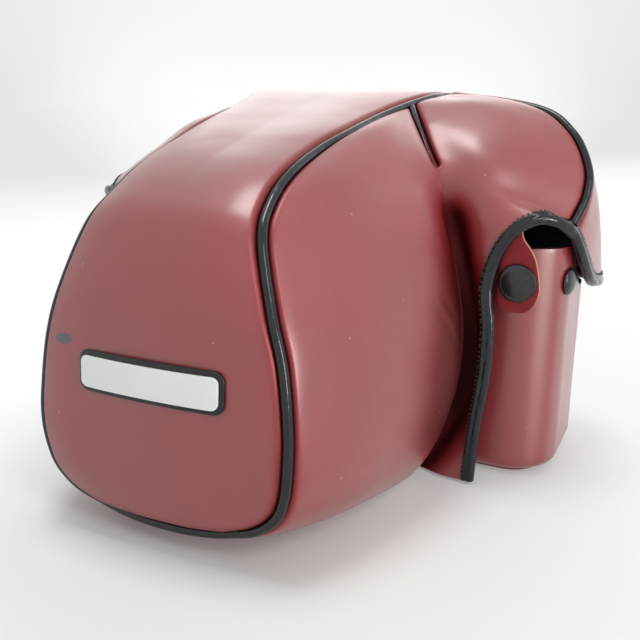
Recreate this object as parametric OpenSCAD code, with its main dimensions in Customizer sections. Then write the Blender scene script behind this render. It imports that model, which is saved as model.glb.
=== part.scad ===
// Ever ready case for a single lens camera: a stiff half case with a drop front cover and long nose.
// Millimetres. +X is the wearer's left end of the case, -Y is the front, +Z is up, the floor is z = 0.
// The origin is the middle of the underside of the half case, on the camera screw's axis.

/* [Half case] */
// Outer width of the half case
case_w = 151; // [120:0.5:190]
// Outer depth of the half case, front to back
case_d = 47; // [40:0.5:60]
// Outside radius of the upright corners, seen from above
corner_r = 13.5; // [10:0.5:17]
// Height of the two front ears that carry the press studs
ear_h = 66; // [58:0.5:78]
// Height of the rim along the ends and the back
rim_h = 47.5; // [38:0.5:48]
// How far back the ears reach, from the front face
ear_d = 11.5; // [9:0.5:14]
// How far the ears slope down behind that, to the rim
ear_slope = 18; // [12:0.5:20]
// Height of the front wall under the lens
sill_h = 22; // [12:0.5:30]
// Width of the cut in the front wall for the lens
lens_cut_w = 92; // [70:1:100]
// Thickness of the leather wall
wall_t = 2; // [1.6:0.1:2.4]
// Thickness of the lining
lining_t = 1; // [0.8:0.1:1.6]
// How far the lining stands above the rim
lip_h = 3.5; // [1:0.5:4]
// Thickness of the leather under the base
base_t = 2; // [1.5:0.1:3]
// Thickness of the fibre board in the base
board_t = 4; // [3.5:0.1:6]
// Thickness of the felt on the board
felt_t = 1.5; // [1:0.1:3]

/* [Cover] */
// Height of the crown of the cover
cover_h = 106.6; // [100:0.5:130]
// Reach of the nose in front of the half case
nose_reach = 77.2; // [60:0.5:95]
// Width of the front panel at its widest
nose_w = 67.8; // [54:0.2:82]
// Thickness of the lined leather of the cover
leather_t = 1.6; // [1.2:0.1:2]
// Stand off of the skirt from the half case
skirt_gap = 8.5; // [8:0.5:12]
// Room behind the half case inside the cover
back_gap = 3.2; // [3:0.1:6]
// Height of the strap lug arch above the ears
arch_rise = 9.4; // [8:0.2:14]
// How far the right shoulder has slumped, which the photo's left outline shows
shoulder_sag = 13; // [0:0.5:14]
// Gap between the rim and the lower edge of the cover
rim_gap = 4; // [3.5:0.5:6]
// Diameter of the piping cord
piping_d = 2.4; // [1.8:0.1:2.8]
// Diameter of the rolled edge binding
binding_d = 3; // [2.4:0.1:3.2]
// Clearance between pieces that are sewn together
seam_gap = 0.3; // [0.2:0.05:0.5]
// Clearance between pieces that move past each other
run_gap = 0.3; // [0.2:0.05:0.6]

/* [Hinge strip] */
// Thickness of the hinge strip under the front edge
strip_t = 1.2; // [1:0.1:1.8]
// Diameter of the bead on the fold of the strip
bead_d = 2.2; // [1.8:0.1:2.6]
// Width of the hinge strip
hinge_w = 70; // [50:1:74]

/* [Press studs] */
// Distance of the stud from the end of the case
stud_inset = 10.9; // [9:0.1:13]
// Drop of the stud below the top of the ear
stud_drop = 8.5; // [7:0.1:11]
// Diameter of the cap
cap_d = 10.2; // [8:0.1:10.6]
// Height of the cap
cap_h = 1.7; // [1.2:0.1:2]
// Diameter of the stud post
post_d = 3.4; // [2.6:0.1:4]
// Height of the stud post in front of the wall
post_h = 1.7; // [1.3:0.1:2]
// Diameter of the flange round the post
flange_d = 7.2; // [5:0.1:8]
// Thickness of the flange
flange_t = 0.5; // [0.3:0.1:0.6]
// Thickness of the socket ring on the tab
socket_t = 1.2; // [1:0.1:1.5]
// Thickness of the tab leather
tab_t = 1.5; // [1.2:0.1:1.8]
// Diameter of the domed stud on the corner
corner_stud_d = 7.6; // [6:0.1:9]
// Height of the dome of the corner stud
corner_stud_h = 1.5; // [1:0.1:1.6]
// Turn of the corner stud round the corner, from the front
corner_stud_turn = 78; // [50:1:80]
// Drop of the corner stud below the press stud
corner_stud_drop = 1.2; // [0:0.1:2]

/* [Camera screw] */
// Diameter of the camera thread
screw_d = 6.35; // [5.5:0.05:9.5]
// Diameter of the plain neck under the thread
neck_d = 5.1; // [4:0.05:6]
// Length of thread above the felt
screw_reach = 5; // [4:0.1:7]
// Diameter of the knob
knob_d = 24; // [18:0.5:34]
// Thickness of the knob
knob_t = 3.4; // [2.6:0.1:4]
// Width of the coin slot
slot_w = 2; // [1.4:0.1:2.6]
// Depth of the coin slot
slot_depth = 1.2; // [0.8:0.1:1.8]
// Height of the knob above the floor
knob_z = 0.5; // [0.3:0.1:1]
// Thickness of the retaining ring
ring_t = 0.8; // [0.6:0.1:1]
// Outer diameter of the retaining ring
ring_d = 11; // [9.5:0.1:14]

/* [Plate on the nose] */
// Width of the blank plate, as a share of the width of the front panel
plate_share = 0.58; // [0.4:0.01:0.7]
// Thickness of the dark backing of the plate
plate_t = 1.3; // [0.8:0.1:2]
// Thickness of the pale face of the plate
face_t = 0.7; // [0.5:0.1:1.2]
// Border of backing left round the pale face
face_border = 1.2; // [0.8:0.1:2]

/* [Hidden] */
$fn = 64;
half_w = case_w / 2;
half_d = case_d / 2;
arch_h = ear_h + arch_rise;
edge_h = rim_h + rim_gap;
skirt_y = -half_d - skirt_gap;
back_y = half_d + back_gap + leather_t;
piping_r = piping_d / 2;
binding_r = binding_d / 2;
seam_m = piping_r + seam_gap;
bind_m = binding_r + seam_gap;
floor_z = base_t + board_t + felt_t;
snap_x = half_w - stud_inset;
snap_z = ear_h - stud_drop;
tab_in_y = -half_d - flange_t - 0.2 - socket_t;
tab_out_y = tab_in_y - tab_t;
tab_axis_y = tab_in_y - tab_t / 2;
tab_axis_z = ear_h + 0.5;
hinge_y = skirt_y + leather_t + seam_gap + bead_d / 2 + 0.2;
hinge_z = bead_d / 2 + 0.2;
plate_w = plate_share * nose_w;
leather = [0.50, 0.16, 0.17];
vinyl = [0.06, 0.06, 0.07];

// Curves of the cover

// Smooth curve through hand placed stations, u counted in stations
function spline(p, u) =
    let (n = len(p), i = min(max(floor(u), 0), n - 2), t = u - i)
    let (b = p[i], c = p[i + 1])
    let (a = i > 0 ? p[i - 1] : 2 * b - c, d = i < n - 2 ? p[i + 2] : 2 * c - b)
    (2 * b + (c - a) * t + (2 * a - 5 * b + 4 * c - d) * t * t + (3 * b - a - 3 * c + d) * pow(t, 3)) / 2;

function unit(v) = v / norm(v);
// A point of the nose: share of its half width, share of its reach, share of the crown height
function nose_at(x, y, z) = [x * nose_w / 2, -half_d - y * nose_reach, z * cover_h];
// A point beside the body: share of the half width, offset from the skirt, share of the crown height
function body_at(x, y, z) = [x * half_w, skirt_y + y, z * cover_h];
// A height between the top of the arch and the crown
function above_arch(f) = arch_h + f * (cover_h - arch_h);

// Seam between the front panel and the sides, from the toe of the nose over the top and down the back
edge = [
    nose_at(0.52, 0.952, 0.075), nose_at(0.75, 0.958, 0.101), nose_at(0.905, 0.962, 0.143),
    nose_at(0.973, 0.965, 0.194), nose_at(1, 0.967, 0.262), nose_at(0.994, 0.957, 0.342),
    nose_at(0.941, 0.940, 0.465), nose_at(0.841, 0.920, 0.569), nose_at(0.696, 0.856, 0.704),
    nose_at(0.634, 0.763, 0.767), nose_at(0.619, 0.630, 0.820), nose_at(0.628, 0.437, 0.864),
    nose_at(0.678, 0.256, 0.897), nose_at(0.723, 0.043, 0.930), nose_at(0.811, -0.162, 0.960),
    [0.914 * nose_w / 2, 0.17 * half_d, 0.981 * cover_h],
    [0.973 * nose_w / 2, 0.72 * half_d, 0.975 * cover_h],
    [1.003 * nose_w / 2, back_y - 3.3, 0.92 * cover_h],
    [1.018 * nose_w / 2, back_y - 0.2, 0.81 * cover_h],
    [1.024 * nose_w / 2, back_y + 0.4, (0.81 * cover_h + edge_h) / 2],
    [1.032 * nose_w / 2, back_y, edge_h]
];
// Rise of the middle of the front panel above its seams: forward, then upward
crown = [
    [-0.8, -1.7], [-1.4, -1.3], [-1.9, -1.3], [-2.3, -0.7], [-2.5, 0], [-3, 0.5], [-3.4, 1.4],
    [-3.4, 2.3], [-2.8, 2.5], [-1.9, 3], [-0.9, 2.6], [-0.3, 2.5], [-0.1, 2.4], [0, 2.4],
    [0, 2.5], [0, 2], [0.5, 1.4], [1, 0.6], [1, 0.3], [1, 0], [1, 0]
];
top_i = 14;
// Where the seam over the shoulder meets the front panel
over_u = 15.2;
// Crease where the nose meets the shoulder and the skirt, from the top seam down to the floor
crease = [
    edge[top_i], body_at(0.43, 13, 0.917), body_at(0.497, 6, 0.868), body_at(0.554, 1.7, 0.821),
    body_at(0.589, 0.5, 0.755), body_at(0.613, 0, 0.694), body_at(0.64, 0, 0.619), body_at(0.67, 0, 0.525),
    body_at(0.689, 0, 0.432), body_at(0.691, 0, 0.342), body_at(0.678, 0, 0.258), body_at(0.649, 0, 0.183),
    body_at(0.609, 0, 0.108), body_at(0.559, 0, 0.047), body_at(0.502, 0, 0.0085)
];
// Fullness of the side of the nose: outward, then upward
nose_full = [
    [0, 0], [1.5, 1], [2.5, 2], [3.5, 1.5], [4, 1], [4.5, 0.8], [5, 0.5], [5, 0], [5, 0], [5, 0],
    [5, -0.5], [4.8, -1.2], [4, -2.2], [3, -3.2], [1.5, -4]
];
// Free edge of the skirt and the arch, then the seam over the end up to the top, lower where it sags
function free_edge(sag) = [
    body_at(0.739, -1, 0.0085), body_at(0.742, -1, 0.047), body_at(0.748, -1, 0.113),
    body_at(0.758, -1, 0.188), body_at(0.772, -1, 0.267), body_at(0.78, -0.8, 0.347),
    [snap_x - 6.2, skirt_y - 0.2, snap_z - 11], [snap_x - 7.3, skirt_y + 0.8, snap_z - 1.5],
    [snap_x - 5.3, skirt_y + 1.7, snap_z + 8], [snap_x - 0.3, skirt_y + 2.1, arch_h - 2.4],
    [half_w - 4.3, skirt_y + 6.5, arch_h], [half_w + 0.7, skirt_y + 14, arch_h - 2.8],
    [half_w + 2.6 - 0.06 * sag, skirt_y + 19, above_arch(0.12) - 0.2 * sag],
    [half_w + 1.9 - 0.15 * sag, skirt_y + 23.5, above_arch(0.356) - 0.62 * sag],
    [half_w - 4 - 0.3 * sag, 0.13 - half_d * 0.13, above_arch(0.647) - sag],
    [half_w - 15.5 - 0.42 * sag, half_d * 0.085, above_arch(0.846) - 0.8 * sag],
    spline(edge, over_u)
];
arch_i = 11;
inner_edge = [
    for (i = [0:top_i]) crease[top_i - i],
    spline(edge, 14.6), spline(edge, over_u)
];
// Fullness of the shoulder: outward, forward, upward
shoulder_full = [
    for (i = [0:7]) [0, -0.5, 0],
    [0, -0.8, 0.3], [0.5, -1, 0.6], [1, -1.5, 1.2], [1.6, -2.2, 2], [2, -2.5, 2.8],
    [2, -2.5, 3.4], [1.5, -1.5, 3.2], [0.8, -0.5, 1.6], [0, 0, 0.2]
];
// Seam over the end, from the arch to the top, and the lower edge from the arch round to the back
function rear_top(sag) = let (outer = free_edge(sag)) [for (i = [arch_i:len(outer) - 1]) outer[i]];
rear_low = [
    [half_w + 4.9, skirt_y + 31, edge_h + 3], [half_w + 5.4, 0.55 * half_d, edge_h + 0.6],
    [half_w + 3.1, half_d - 1, edge_h], [half_w - 6.5, back_y - 0.5, edge_h],
    [(half_w - 6.5 + nose_w / 2) / 2, back_y, edge_h], edge[20]
];
rear_full = [
    [0.7, -2.5, 0.4], [0.6, 0.5, 0], [1.2, 3.5, 1.5], [2, 8, 6], [1.5, 11, 11], [1, 11.5, 14]
];

// Surfaces of the cover, each a function of two shares

function swell(t, p) = sin(180 * pow(t, p));
function full2(v) = [v[0], 0, v[1]];
front_face = function (s, t)
    let (e = spline(edge, s), c = spline(crown, s), w = 1 - pow(abs(t), 2.2))
    [t * e[0], e[1] + c[0] * w, e[2] + c[1] * w];
nose_face = function (s, t)
    let (a = spline(edge, top_i - s), b = spline(crease, s))
    a * (1 - t) + b * t + full2(spline(nose_full, s)) * swell(t, 0.7);
floor_face = function (s, t)
    let (a = front_face(0, s), b = [s * crease[top_i][0], crease[top_i][1], crease[top_i][2]])
    a * (1 - t) + b * t + [1.5 * s, 0, -3.4 - 0.6 * s * s] * swell(t, 0.7);
// The two faces that sag are functions of the sag that give the face
shoulder_face = function (sag)
    let (outer = free_edge(sag), slack = 1 - 0.065 * sag)
    let (full = [for (v = shoulder_full) [v[0], v[1], v[2] * slack]])
    function (s, t) spline(inner_edge, s) * (1 - t) + spline(outer, s) * t + spline(full, s) * swell(t, 1);
rear_face = function (sag)
    let (upper = rear_top(sag))
    function (s, t) spline(upper, s) * (1 - t) + spline(rear_low, s) * t + spline(rear_full, s) * swell(t, 0.8);

// Normal of a surface by small differences
function face_normal(f, s, t, side) =
    let (h = 0.02, a = f(s + h, t) - f(s - h, t), b = f(s, t + h) - f(s, t - h))
    side * unit(cross(a, b));

// Closed sheet from a surface: rows of [s, t from, t to], lifted from low to high along the normal
module sheet(f, rows, nt, side, low, high) {
    ns = len(rows) - 1;
    w = nt + 1;
    at = function (i, j) [rows[i][0], rows[i][1] + (rows[i][2] - rows[i][1]) * j / nt];
    skin = function (d) [
        for (i = [0:ns], j = [0:nt])
            let (q = at(i, j)) f(q[0], q[1]) + d * face_normal(f, q[0], q[1], side)
    ];
    n = (ns + 1) * w;
    up = [
        for (i = [0:ns - 1], j = [0:nt - 1])
            let (a = i * w + j, b = a + 1, c = a + w + 1, d = a + w)
            each [[a, b, c], [a, c, d]]
    ];
    rim = concat(
        [for (j = [0:nt]) j], [for (i = [1:ns]) i * w + nt],
        [for (j = [nt - 1:-1:0]) ns * w + j], [for (i = [ns - 1:-1:1]) i * w]
    );
    m = len(rim);
    down = [for (t = up) [t[0] + n, t[2] + n, t[1] + n]];
    wall = [
        for (k = [0:m - 1])
            let (a = rim[k], b = rim[(k + 1) % m])
            each [[a, a + n, b + n], [a, b + n, b]]
    ];
    all = concat(up, down, wall);
    flip = [for (t = all) [t[2], t[1], t[0]]];
    polyhedron(concat(skin(high), skin(low)), side > 0 ? flip : all, 10);
}

// Rows with an even step, and a margin in millimetres kept from each of two edges
function rows_between(a, b, s0, s1, n, m0, m1) = [
    for (i = [0:n])
        let (s = s0 + (s1 - s0) * i / n, d = norm(a(s) - b(s)))
        [s, m0(s) / d, 1 - m1(s) / d]
];

// Round cord along points, with a middle that it goes round
module cord(p, r, mid, sides) {
    n = len(p);
    ring = function (i)
        let (t = unit(p[min(i + 1, n - 1)] - p[max(i - 1, 0)]))
        let (b = unit(cross(t, p[i] - mid)), c = cross(b, t))
        [for (k = [0:sides - 1]) p[i] + r * (b * cos(360 * k / sides) + c * sin(360 * k / sides))];
    skin = [
        for (i = [0:n - 2], k = [0:sides - 1])
            let (a = i * sides + k, b = i * sides + (k + 1) % sides)
            each [[a, b, b + sides], [a, b + sides, a + sides]]
    ];
    ends = [
        [for (k = [sides - 1:-1:0]) k], [for (k = [0:sides - 1]) (n - 1) * sides + k]
    ];
    faces = [for (t = concat(skin, ends)) [for (k = [len(t) - 1:-1:0]) t[k]]];
    polyhedron([for (i = [0:n - 1]) each ring(i)], faces, 10);
}

module flipped(left) {
    mirror([left ? 1 : 0, 0, 0]) children();
}

// Half case

module plan(grow) {
    r = corner_r + grow;
    x = half_w - corner_r;
    y = half_d - corner_r;
    for (i = [-1, 1], j = [-1, 1]) translate([i * x, j * y]) circle(r);
    square([2 * (x + r), 2 * y], center = true);
    square([2 * x, 2 * (y + r)], center = true);
}

// What is cut away above the rim: low ends and back, and a gap for the lens in front
module rim_cut(ear, rim, sill) {
    far = 4 * case_w;
    step_y = -half_d + ear_d;
    top = 2 * cover_h;
    translate([-far / 2, 0, 0]) rotate([90, 0, 90]) linear_extrude(far)
        polygon([[step_y, ear], [step_y + ear_slope, rim], [far, rim], [far, top], [step_y, top]]);
    translate([-lens_cut_w / 2, -far, sill]) cube([lens_cut_w, far + step_y + 1, top]);
    translate([-far / 2, -far / 2, ear]) cube([far, far, top]);
}

module stud_hole(side, d) {
    translate([side * snap_x, -half_d + wall_t + lining_t + 1, snap_z])
        rotate([90, 0, 0]) cylinder(d = d, h = wall_t + lining_t + 2);
}

// Flat seat inside the curved wall for the inner head of the stud
module stud_seat(side) {
    translate([side * snap_x, -half_d + wall_t + lining_t + corner_r, snap_z])
        rotate([90, 0, 0]) cylinder(d = flange_d + 2 * seam_gap, h = corner_r);
}

module at_corner(side) {
    translate([side * (half_w - corner_r), -half_d + corner_r, snap_z - corner_stud_drop])
        rotate([0, 0, side * corner_stud_turn]) rotate([90, 0, 0]) children();
}

module half_wall() {
    color(leather) difference() {
        linear_extrude(ear_h) plan(0);
        translate([0, 0, -1]) linear_extrude(ear_h + 2) plan(-wall_t);
        rim_cut(ear_h, rim_h, sill_h);
        for (side = [-1, 1]) {
            stud_hole(side, post_d);
            stud_seat(side);
            at_corner(side) cylinder(d = post_d, h = corner_r + 1);
        }
    }
}

module half_lining() {
    color([0.12, 0.09, 0.09]) difference() {
        translate([0, 0, base_t + board_t]) linear_extrude(ear_h - base_t - board_t) plan(-wall_t);
        linear_extrude(ear_h + 2) plan(-wall_t - lining_t);
        rim_cut(ear_h - 1.5, rim_h + lip_h, sill_h - 1);
        for (side = [-1, 1]) {
            stud_hole(side, post_d);
            stud_seat(side);
            at_corner(side) cylinder(d = post_d, h = corner_r + 1);
        }
    }
}

module base_leather() {
    color(leather) difference() {
        linear_extrude(base_t) plan(-wall_t);
        translate([0, 0, -1]) cylinder(d = knob_d + 4 * run_gap, h = base_t + 2);
    }
}

module base_board() {
    color([0.35, 0.24, 0.15]) difference() {
        translate([0, 0, base_t]) linear_extrude(board_t) plan(-wall_t);
        cylinder(d = knob_d + 4 * run_gap, h = knob_z + knob_t + run_gap);
        cylinder(d = neck_d + 2 * run_gap, h = 2 * floor_z);
    }
}

module base_felt() {
    color([0.12, 0.09, 0.09]) difference() {
        translate([0, 0, base_t + board_t]) linear_extrude(felt_t) plan(-wall_t - lining_t);
        cylinder(d = ring_d + 4 * run_gap, h = 2 * floor_z);
    }
}

// Strip that joins the front edge of the base to the skirt, with a bead on its fold
module hinge_strip() {
    color(leather) union() {
        translate([-hinge_w / 2, hinge_y, hinge_z - strip_t / 2])
            cube([hinge_w, -half_d - hinge_y, strip_t]);
        translate([-hinge_w / 2, hinge_y, hinge_z]) rotate([0, 90, 0]) cylinder(d = bead_d, h = hinge_w);
    }
}

// Stud of a press fastener: inside head, shank through the wall, flange and domed post
module stud(side) {
    through = wall_t + lining_t;
    translate([side * snap_x, -half_d, snap_z]) rotate([90, 0, 0]) {
        translate([0, 0, -through - flange_t]) cylinder(d = flange_d, h = flange_t);
        translate([0, 0, -through - 0.01]) cylinder(d = post_d, h = through + 0.02);
        cylinder(d = flange_d, h = flange_t);
        cylinder(d = post_d, h = post_h - 0.5);
        translate([0, 0, post_h - 0.5]) cylinder(d1 = post_d, d2 = post_d - 1, h = 0.5);
    }
}

// Shallow round dome, its base on z = 0
module dome(d, h) {
    r = (d * d / 4 + h * h) / (2 * h);
    rotate_extrude() intersection() {
        translate([0, h - r]) circle(r);
        square([d, 2 * h]);
    }
}

module corner_stud(side) {
    inner = corner_r - wall_t - lining_t;
    head_d = post_d + 2;
    head_drop = inner - sqrt(inner * inner - head_d * head_d / 4);
    at_corner(side) {
        translate([0, 0, inner - head_drop - flange_t]) cylinder(d = head_d, h = flange_t);
        translate([0, 0, inner - head_drop - 0.01]) cylinder(d = post_d, h = corner_r - inner + head_drop + 0.02);
        translate([0, 0, corner_r]) cylinder(d = corner_stud_d, h = 0.5);
        translate([0, 0, corner_r + 0.5]) dome(corner_stud_d, corner_stud_h - 0.5);
    }
}

module snap_stud_left() { color(vinyl) stud(1); }
module snap_stud_right() { color(vinyl) stud(-1); }
module corner_stud_left() { color(vinyl) corner_stud(1); }
module corner_stud_right() { color(vinyl) corner_stud(-1); }

// Camera screw: slotted knob in the base, plain neck, thread above the felt
module screw_knob() {
    color("silver") difference() {
        union() {
            cylinder_from(knob_z, knob_z + knob_t, knob_d);
            cylinder_from(knob_z, floor_z + screw_reach, neck_d);
            cylinder_from(floor_z + run_gap, floor_z + screw_reach, screw_d);
        }
        translate([-knob_d, -slot_w / 2, -1]) cube([2 * knob_d, slot_w, knob_z + slot_depth + 1]);
    }
}

module cylinder_from(z0, z1, d) {
    translate([0, 0, z0]) cylinder(d = d, h = z1 - z0);
}

module screw_ring() {
    color("silver") difference() {
        cylinder_from(base_t + board_t + run_gap, base_t + board_t + run_gap + ring_t, ring_d);
        cylinder_from(0, 2 * floor_z, neck_d + 0.1);
    }
}

// Cover

module front_panel() {
    n = 44;
    rows = [
        for (i = [0:n])
            let (s = 0.5 + (19.88 - 0.5) * i / n, m = seam_m / spline(edge, s)[0])
            [s, -1 + m, 1 - m]
    ];
    color(leather) sheet(front_face, rows, 8, -1, -leather_t, 0);
}

module nose_side() {
    rows = rows_between(
        function (s) spline(edge, top_i - s), function (s) spline(crease, s), 0.7, 13.97, 20,
        function (s) seam_m, function (s) s < 3.4 ? seam_m : seam_gap
    );
    color(leather) sheet(nose_face, rows, 7, 1, -leather_t, 0);
}

module nose_side_left() { nose_side(); }
module nose_side_right() { flipped(true) nose_side(); }

module nose_floor() {
    n = 8;
    reach = norm(edge[0] - crease[top_i]);
    rows = [
        for (i = [0:n]) [-0.985 + 1.97 * i / n, seam_m / reach, 1 - seam_gap / reach]
    ];
    color(leather) sheet(floor_face, rows, 8, -1, -leather_t, 0);
}

module shoulder(sag) {
    outer = free_edge(sag);
    rows = rows_between(
        function (s) spline(inner_edge, s), function (s) spline(outer, s), 0.02, 15.82, 30,
        function (s) s > 10.6 ? seam_m : seam_gap, function (s) s > arch_i ? seam_m : bind_m
    );
    color(leather) sheet(shoulder_face(sag), rows, 6, -1, -leather_t, 0);
}

module shoulder_left() { shoulder(0); }
module shoulder_right() { flipped(true) shoulder(shoulder_sag); }

module rear_panel(sag) {
    upper = rear_top(sag);
    rows = rows_between(
        function (s) spline(upper, s), function (s) spline(rear_low, s), 0.22, 4.9, 14,
        function (s) seam_m, function (s) bind_m
    );
    color(leather) sheet(rear_face(sag), rows, 8, -1, -leather_t, 0);
}

module rear_panel_left() { rear_panel(0); }
module rear_panel_right() { flipped(true) rear_panel(shoulder_sag); }

module front_piping() {
    n = 54;
    toe = 6;
    side = [for (i = [0:n]) spline(edge, 19.88 * (n - i) / n)];
    under = [for (i = [1:toe - 1]) front_face(0, 1 - 2 * i / toe)];
    other = [for (i = [0:n]) let (p = side[n - i]) [-p[0], p[1], p[2]]];
    color(vinyl) cord(concat(side, under, other), piping_r, [0, -half_d, cover_h / 2], 8);
}

module gusset_piping() {
    n = 10;
    color(vinyl) cord(
        [for (i = [0:n]) spline(crease, 0.32 + 3 * i / n)], piping_r - 0.1, [0, -half_d, cover_h / 2], 8
    );
}

module gusset_piping_left() { gusset_piping(); }
module gusset_piping_right() { flipped(true) gusset_piping(); }

module rear_piping(sag) {
    n = 24;
    upper = rear_top(sag);
    color(vinyl) cord(
        [for (i = [0:n]) spline(upper, 0.42 + 4.46 * i / n)], piping_r, [0, 0, cover_h / 2], 8
    );
}

module rear_piping_left() { rear_piping(0); }
module rear_piping_right() { flipped(true) rear_piping(shoulder_sag); }

// Middle of the leather at the free edges, where the binding is rolled on
function sunk(f, s, t) = f(s, t) - leather_t / 2 * face_normal(f, s, t, -1);

module edge_binding(sag) {
    front = shoulder_face(sag);
    rear = rear_face(sag);
    skirt = [for (i = [0:26]) sunk(front, 0.05 + 10.5 * i / 26, 1)];
    leg = [for (i = [0:7]) sunk(rear, 0, 0.1 + 0.8 * i / 7)];
    low = [for (i = [0:14]) sunk(rear, 0.25 + 4.7 * i / 14, 1)];
    end = [for (i = [1:4]) sunk(front_face, 20, 1 - (i - 0.02) / 4)];
    color(vinyl) cord(concat(skirt, leg, low, end), binding_r, [0, 0, cover_h / 2], 8);
}

module edge_binding_left() { edge_binding(0); }
module edge_binding_right() { flipped(true) edge_binding(shoulder_sag); }

// Blank plate on the nose: dark backing and pale face, bent to the front panel
function plate_rows(border) = [
    for (i = [0:4])
        let (s = 5.07 + 0.75 * i / 4 + border / 13 * (1 - i / 2), w = (plate_w - 2 * border) / nose_w)
        [s, -w, w]
];

module plate_back() {
    color(vinyl) sheet(front_face, plate_rows(0), 8, -1, 0.08, plate_t);
}

module plate_face() {
    color("whitesmoke") sheet(front_face, plate_rows(face_border), 8, -1, plate_t + 0.02, plate_t + face_t);
}

// Tab that hangs from inside the shoulder and carries the press fastener

module tab_root() {
    root_w = cap_d * 0.52;
    color(leather) translate([snap_x - root_w / 2, tab_out_y, tab_axis_z + tab_t / 2 + seam_gap])
        cube([root_w, tab_t, arch_h - tab_axis_z - tab_t / 2 - 2]);
}

module tab_root_left() { tab_root(); }
module tab_root_right() { flipped(true) tab_root(); }

module snap_tab() {
    root_w = cap_d * 0.52;
    tip_r = 4.7;
    tip_z = snap_z - 2.9;
    color(leather) {
        translate([0, tab_in_y, 0]) rotate([90, 0, 0]) linear_extrude(tab_t) {
            translate([snap_x + 0.3, tip_z]) circle(tip_r);
            polygon([
                [snap_x + 0.3 - tip_r, tip_z], [snap_x + 0.3 + tip_r, tip_z],
                [snap_x + root_w / 2, tab_axis_z], [snap_x - root_w / 2, tab_axis_z]
            ]);
        }
        translate([snap_x - root_w / 2, tab_axis_y, tab_axis_z]) rotate([0, 90, 0])
            cylinder(d = tab_t, h = root_w);
    }
}

module snap_tab_left() { snap_tab(); }
module snap_tab_right() { flipped(true) snap_tab(); }

module snap_cap(side) {
    color(vinyl) translate([side * snap_x, tab_out_y, snap_z]) rotate([90, 0, 0]) {
        cylinder(d = cap_d, h = 0.6);
        translate([0, 0, 0.6]) dome(cap_d, cap_h - 0.6);
    }
}

module snap_cap_left() { snap_cap(1); }
module snap_cap_right() { snap_cap(-1); }

module snap_socket(side) {
    color("silver") translate([side * snap_x, tab_in_y + socket_t, snap_z]) rotate([90, 0, 0]) difference() {
        cylinder(d = flange_d, h = socket_t);
        translate([0, 0, -1]) cylinder(d = post_d + 2 * run_gap, h = socket_t + 2);
    }
}

module snap_socket_left() { snap_socket(1); }
module snap_socket_right() { snap_socket(-1); }

half_wall();
half_lining();
base_leather();
base_board();
base_felt();
hinge_strip();
snap_stud_left();
snap_stud_right();
corner_stud_left();
corner_stud_right();
screw_knob();
screw_ring();
front_panel();
nose_side_left();
nose_side_right();
nose_floor();
shoulder_left();
shoulder_right();
rear_panel_left();
rear_panel_right();
front_piping();
gusset_piping_left();
gusset_piping_right();
rear_piping_left();
rear_piping_right();
edge_binding_left();
edge_binding_right();
plate_back();
plate_face();
tab_root_left();
tab_root_right();
snap_tab_left();
snap_tab_right();
snap_cap_left();
snap_cap_right();
snap_socket_left();
snap_socket_right();
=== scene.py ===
"""Looks of a leather ever ready case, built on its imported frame. Laid out as an add-on, run as a script."""

import math

import bpy
from mathutils import Matrix, Vector, noise
from mathutils.kdtree import KDTree


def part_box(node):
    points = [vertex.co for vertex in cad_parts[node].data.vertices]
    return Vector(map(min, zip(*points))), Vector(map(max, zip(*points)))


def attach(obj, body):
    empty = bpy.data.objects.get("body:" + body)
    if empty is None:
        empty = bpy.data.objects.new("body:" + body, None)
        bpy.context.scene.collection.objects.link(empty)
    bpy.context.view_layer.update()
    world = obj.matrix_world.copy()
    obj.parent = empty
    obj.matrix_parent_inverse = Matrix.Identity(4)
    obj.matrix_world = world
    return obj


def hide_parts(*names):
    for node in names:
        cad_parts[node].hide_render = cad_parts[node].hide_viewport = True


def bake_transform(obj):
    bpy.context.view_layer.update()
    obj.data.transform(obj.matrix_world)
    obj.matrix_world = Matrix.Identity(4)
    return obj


bl_info = {
    "name": "Ever ready case",
    "version": (1, 0, 0),
    "blender": (4, 5, 0),
    "location": "View3D > Sidebar > Ever ready case",
    "description": "Builds the looks of a leather ever ready case on its packed frame",
    "category": "Object",
}

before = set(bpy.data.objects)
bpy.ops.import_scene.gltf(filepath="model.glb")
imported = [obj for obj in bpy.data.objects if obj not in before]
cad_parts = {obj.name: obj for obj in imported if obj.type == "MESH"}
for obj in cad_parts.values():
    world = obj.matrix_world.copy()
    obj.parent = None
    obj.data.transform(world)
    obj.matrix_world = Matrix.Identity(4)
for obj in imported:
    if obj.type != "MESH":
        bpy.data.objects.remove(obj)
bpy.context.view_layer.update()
WALL_LOW, WALL_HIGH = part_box("half_wall")
MM = 0.001
SIDES = ((1, "left"), (-1, "right"))
# Points nearer than this are merged
MERGE = 0.00001

# Camera of the photograph, in the frame of the part
CAMERA_AT = (0.10859, -0.23650, 0.10492)
CAMERA_AZIMUTH = 25.89
CAMERA_ELEVATION = 15.55
CAMERA_ROLL = 0.31
CAMERA_LENS = 45.46


# Properties


def length(name, text, default):
    return bpy.props.FloatProperty(
        name=name, description=text, default=default, min=0, unit="LENGTH", precision=4
    )


def colour(name, text, default):
    return bpy.props.FloatVectorProperty(
        name=name, description=text, default=default, size=3, min=0, max=1, subtype="COLOR"
    )


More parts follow.
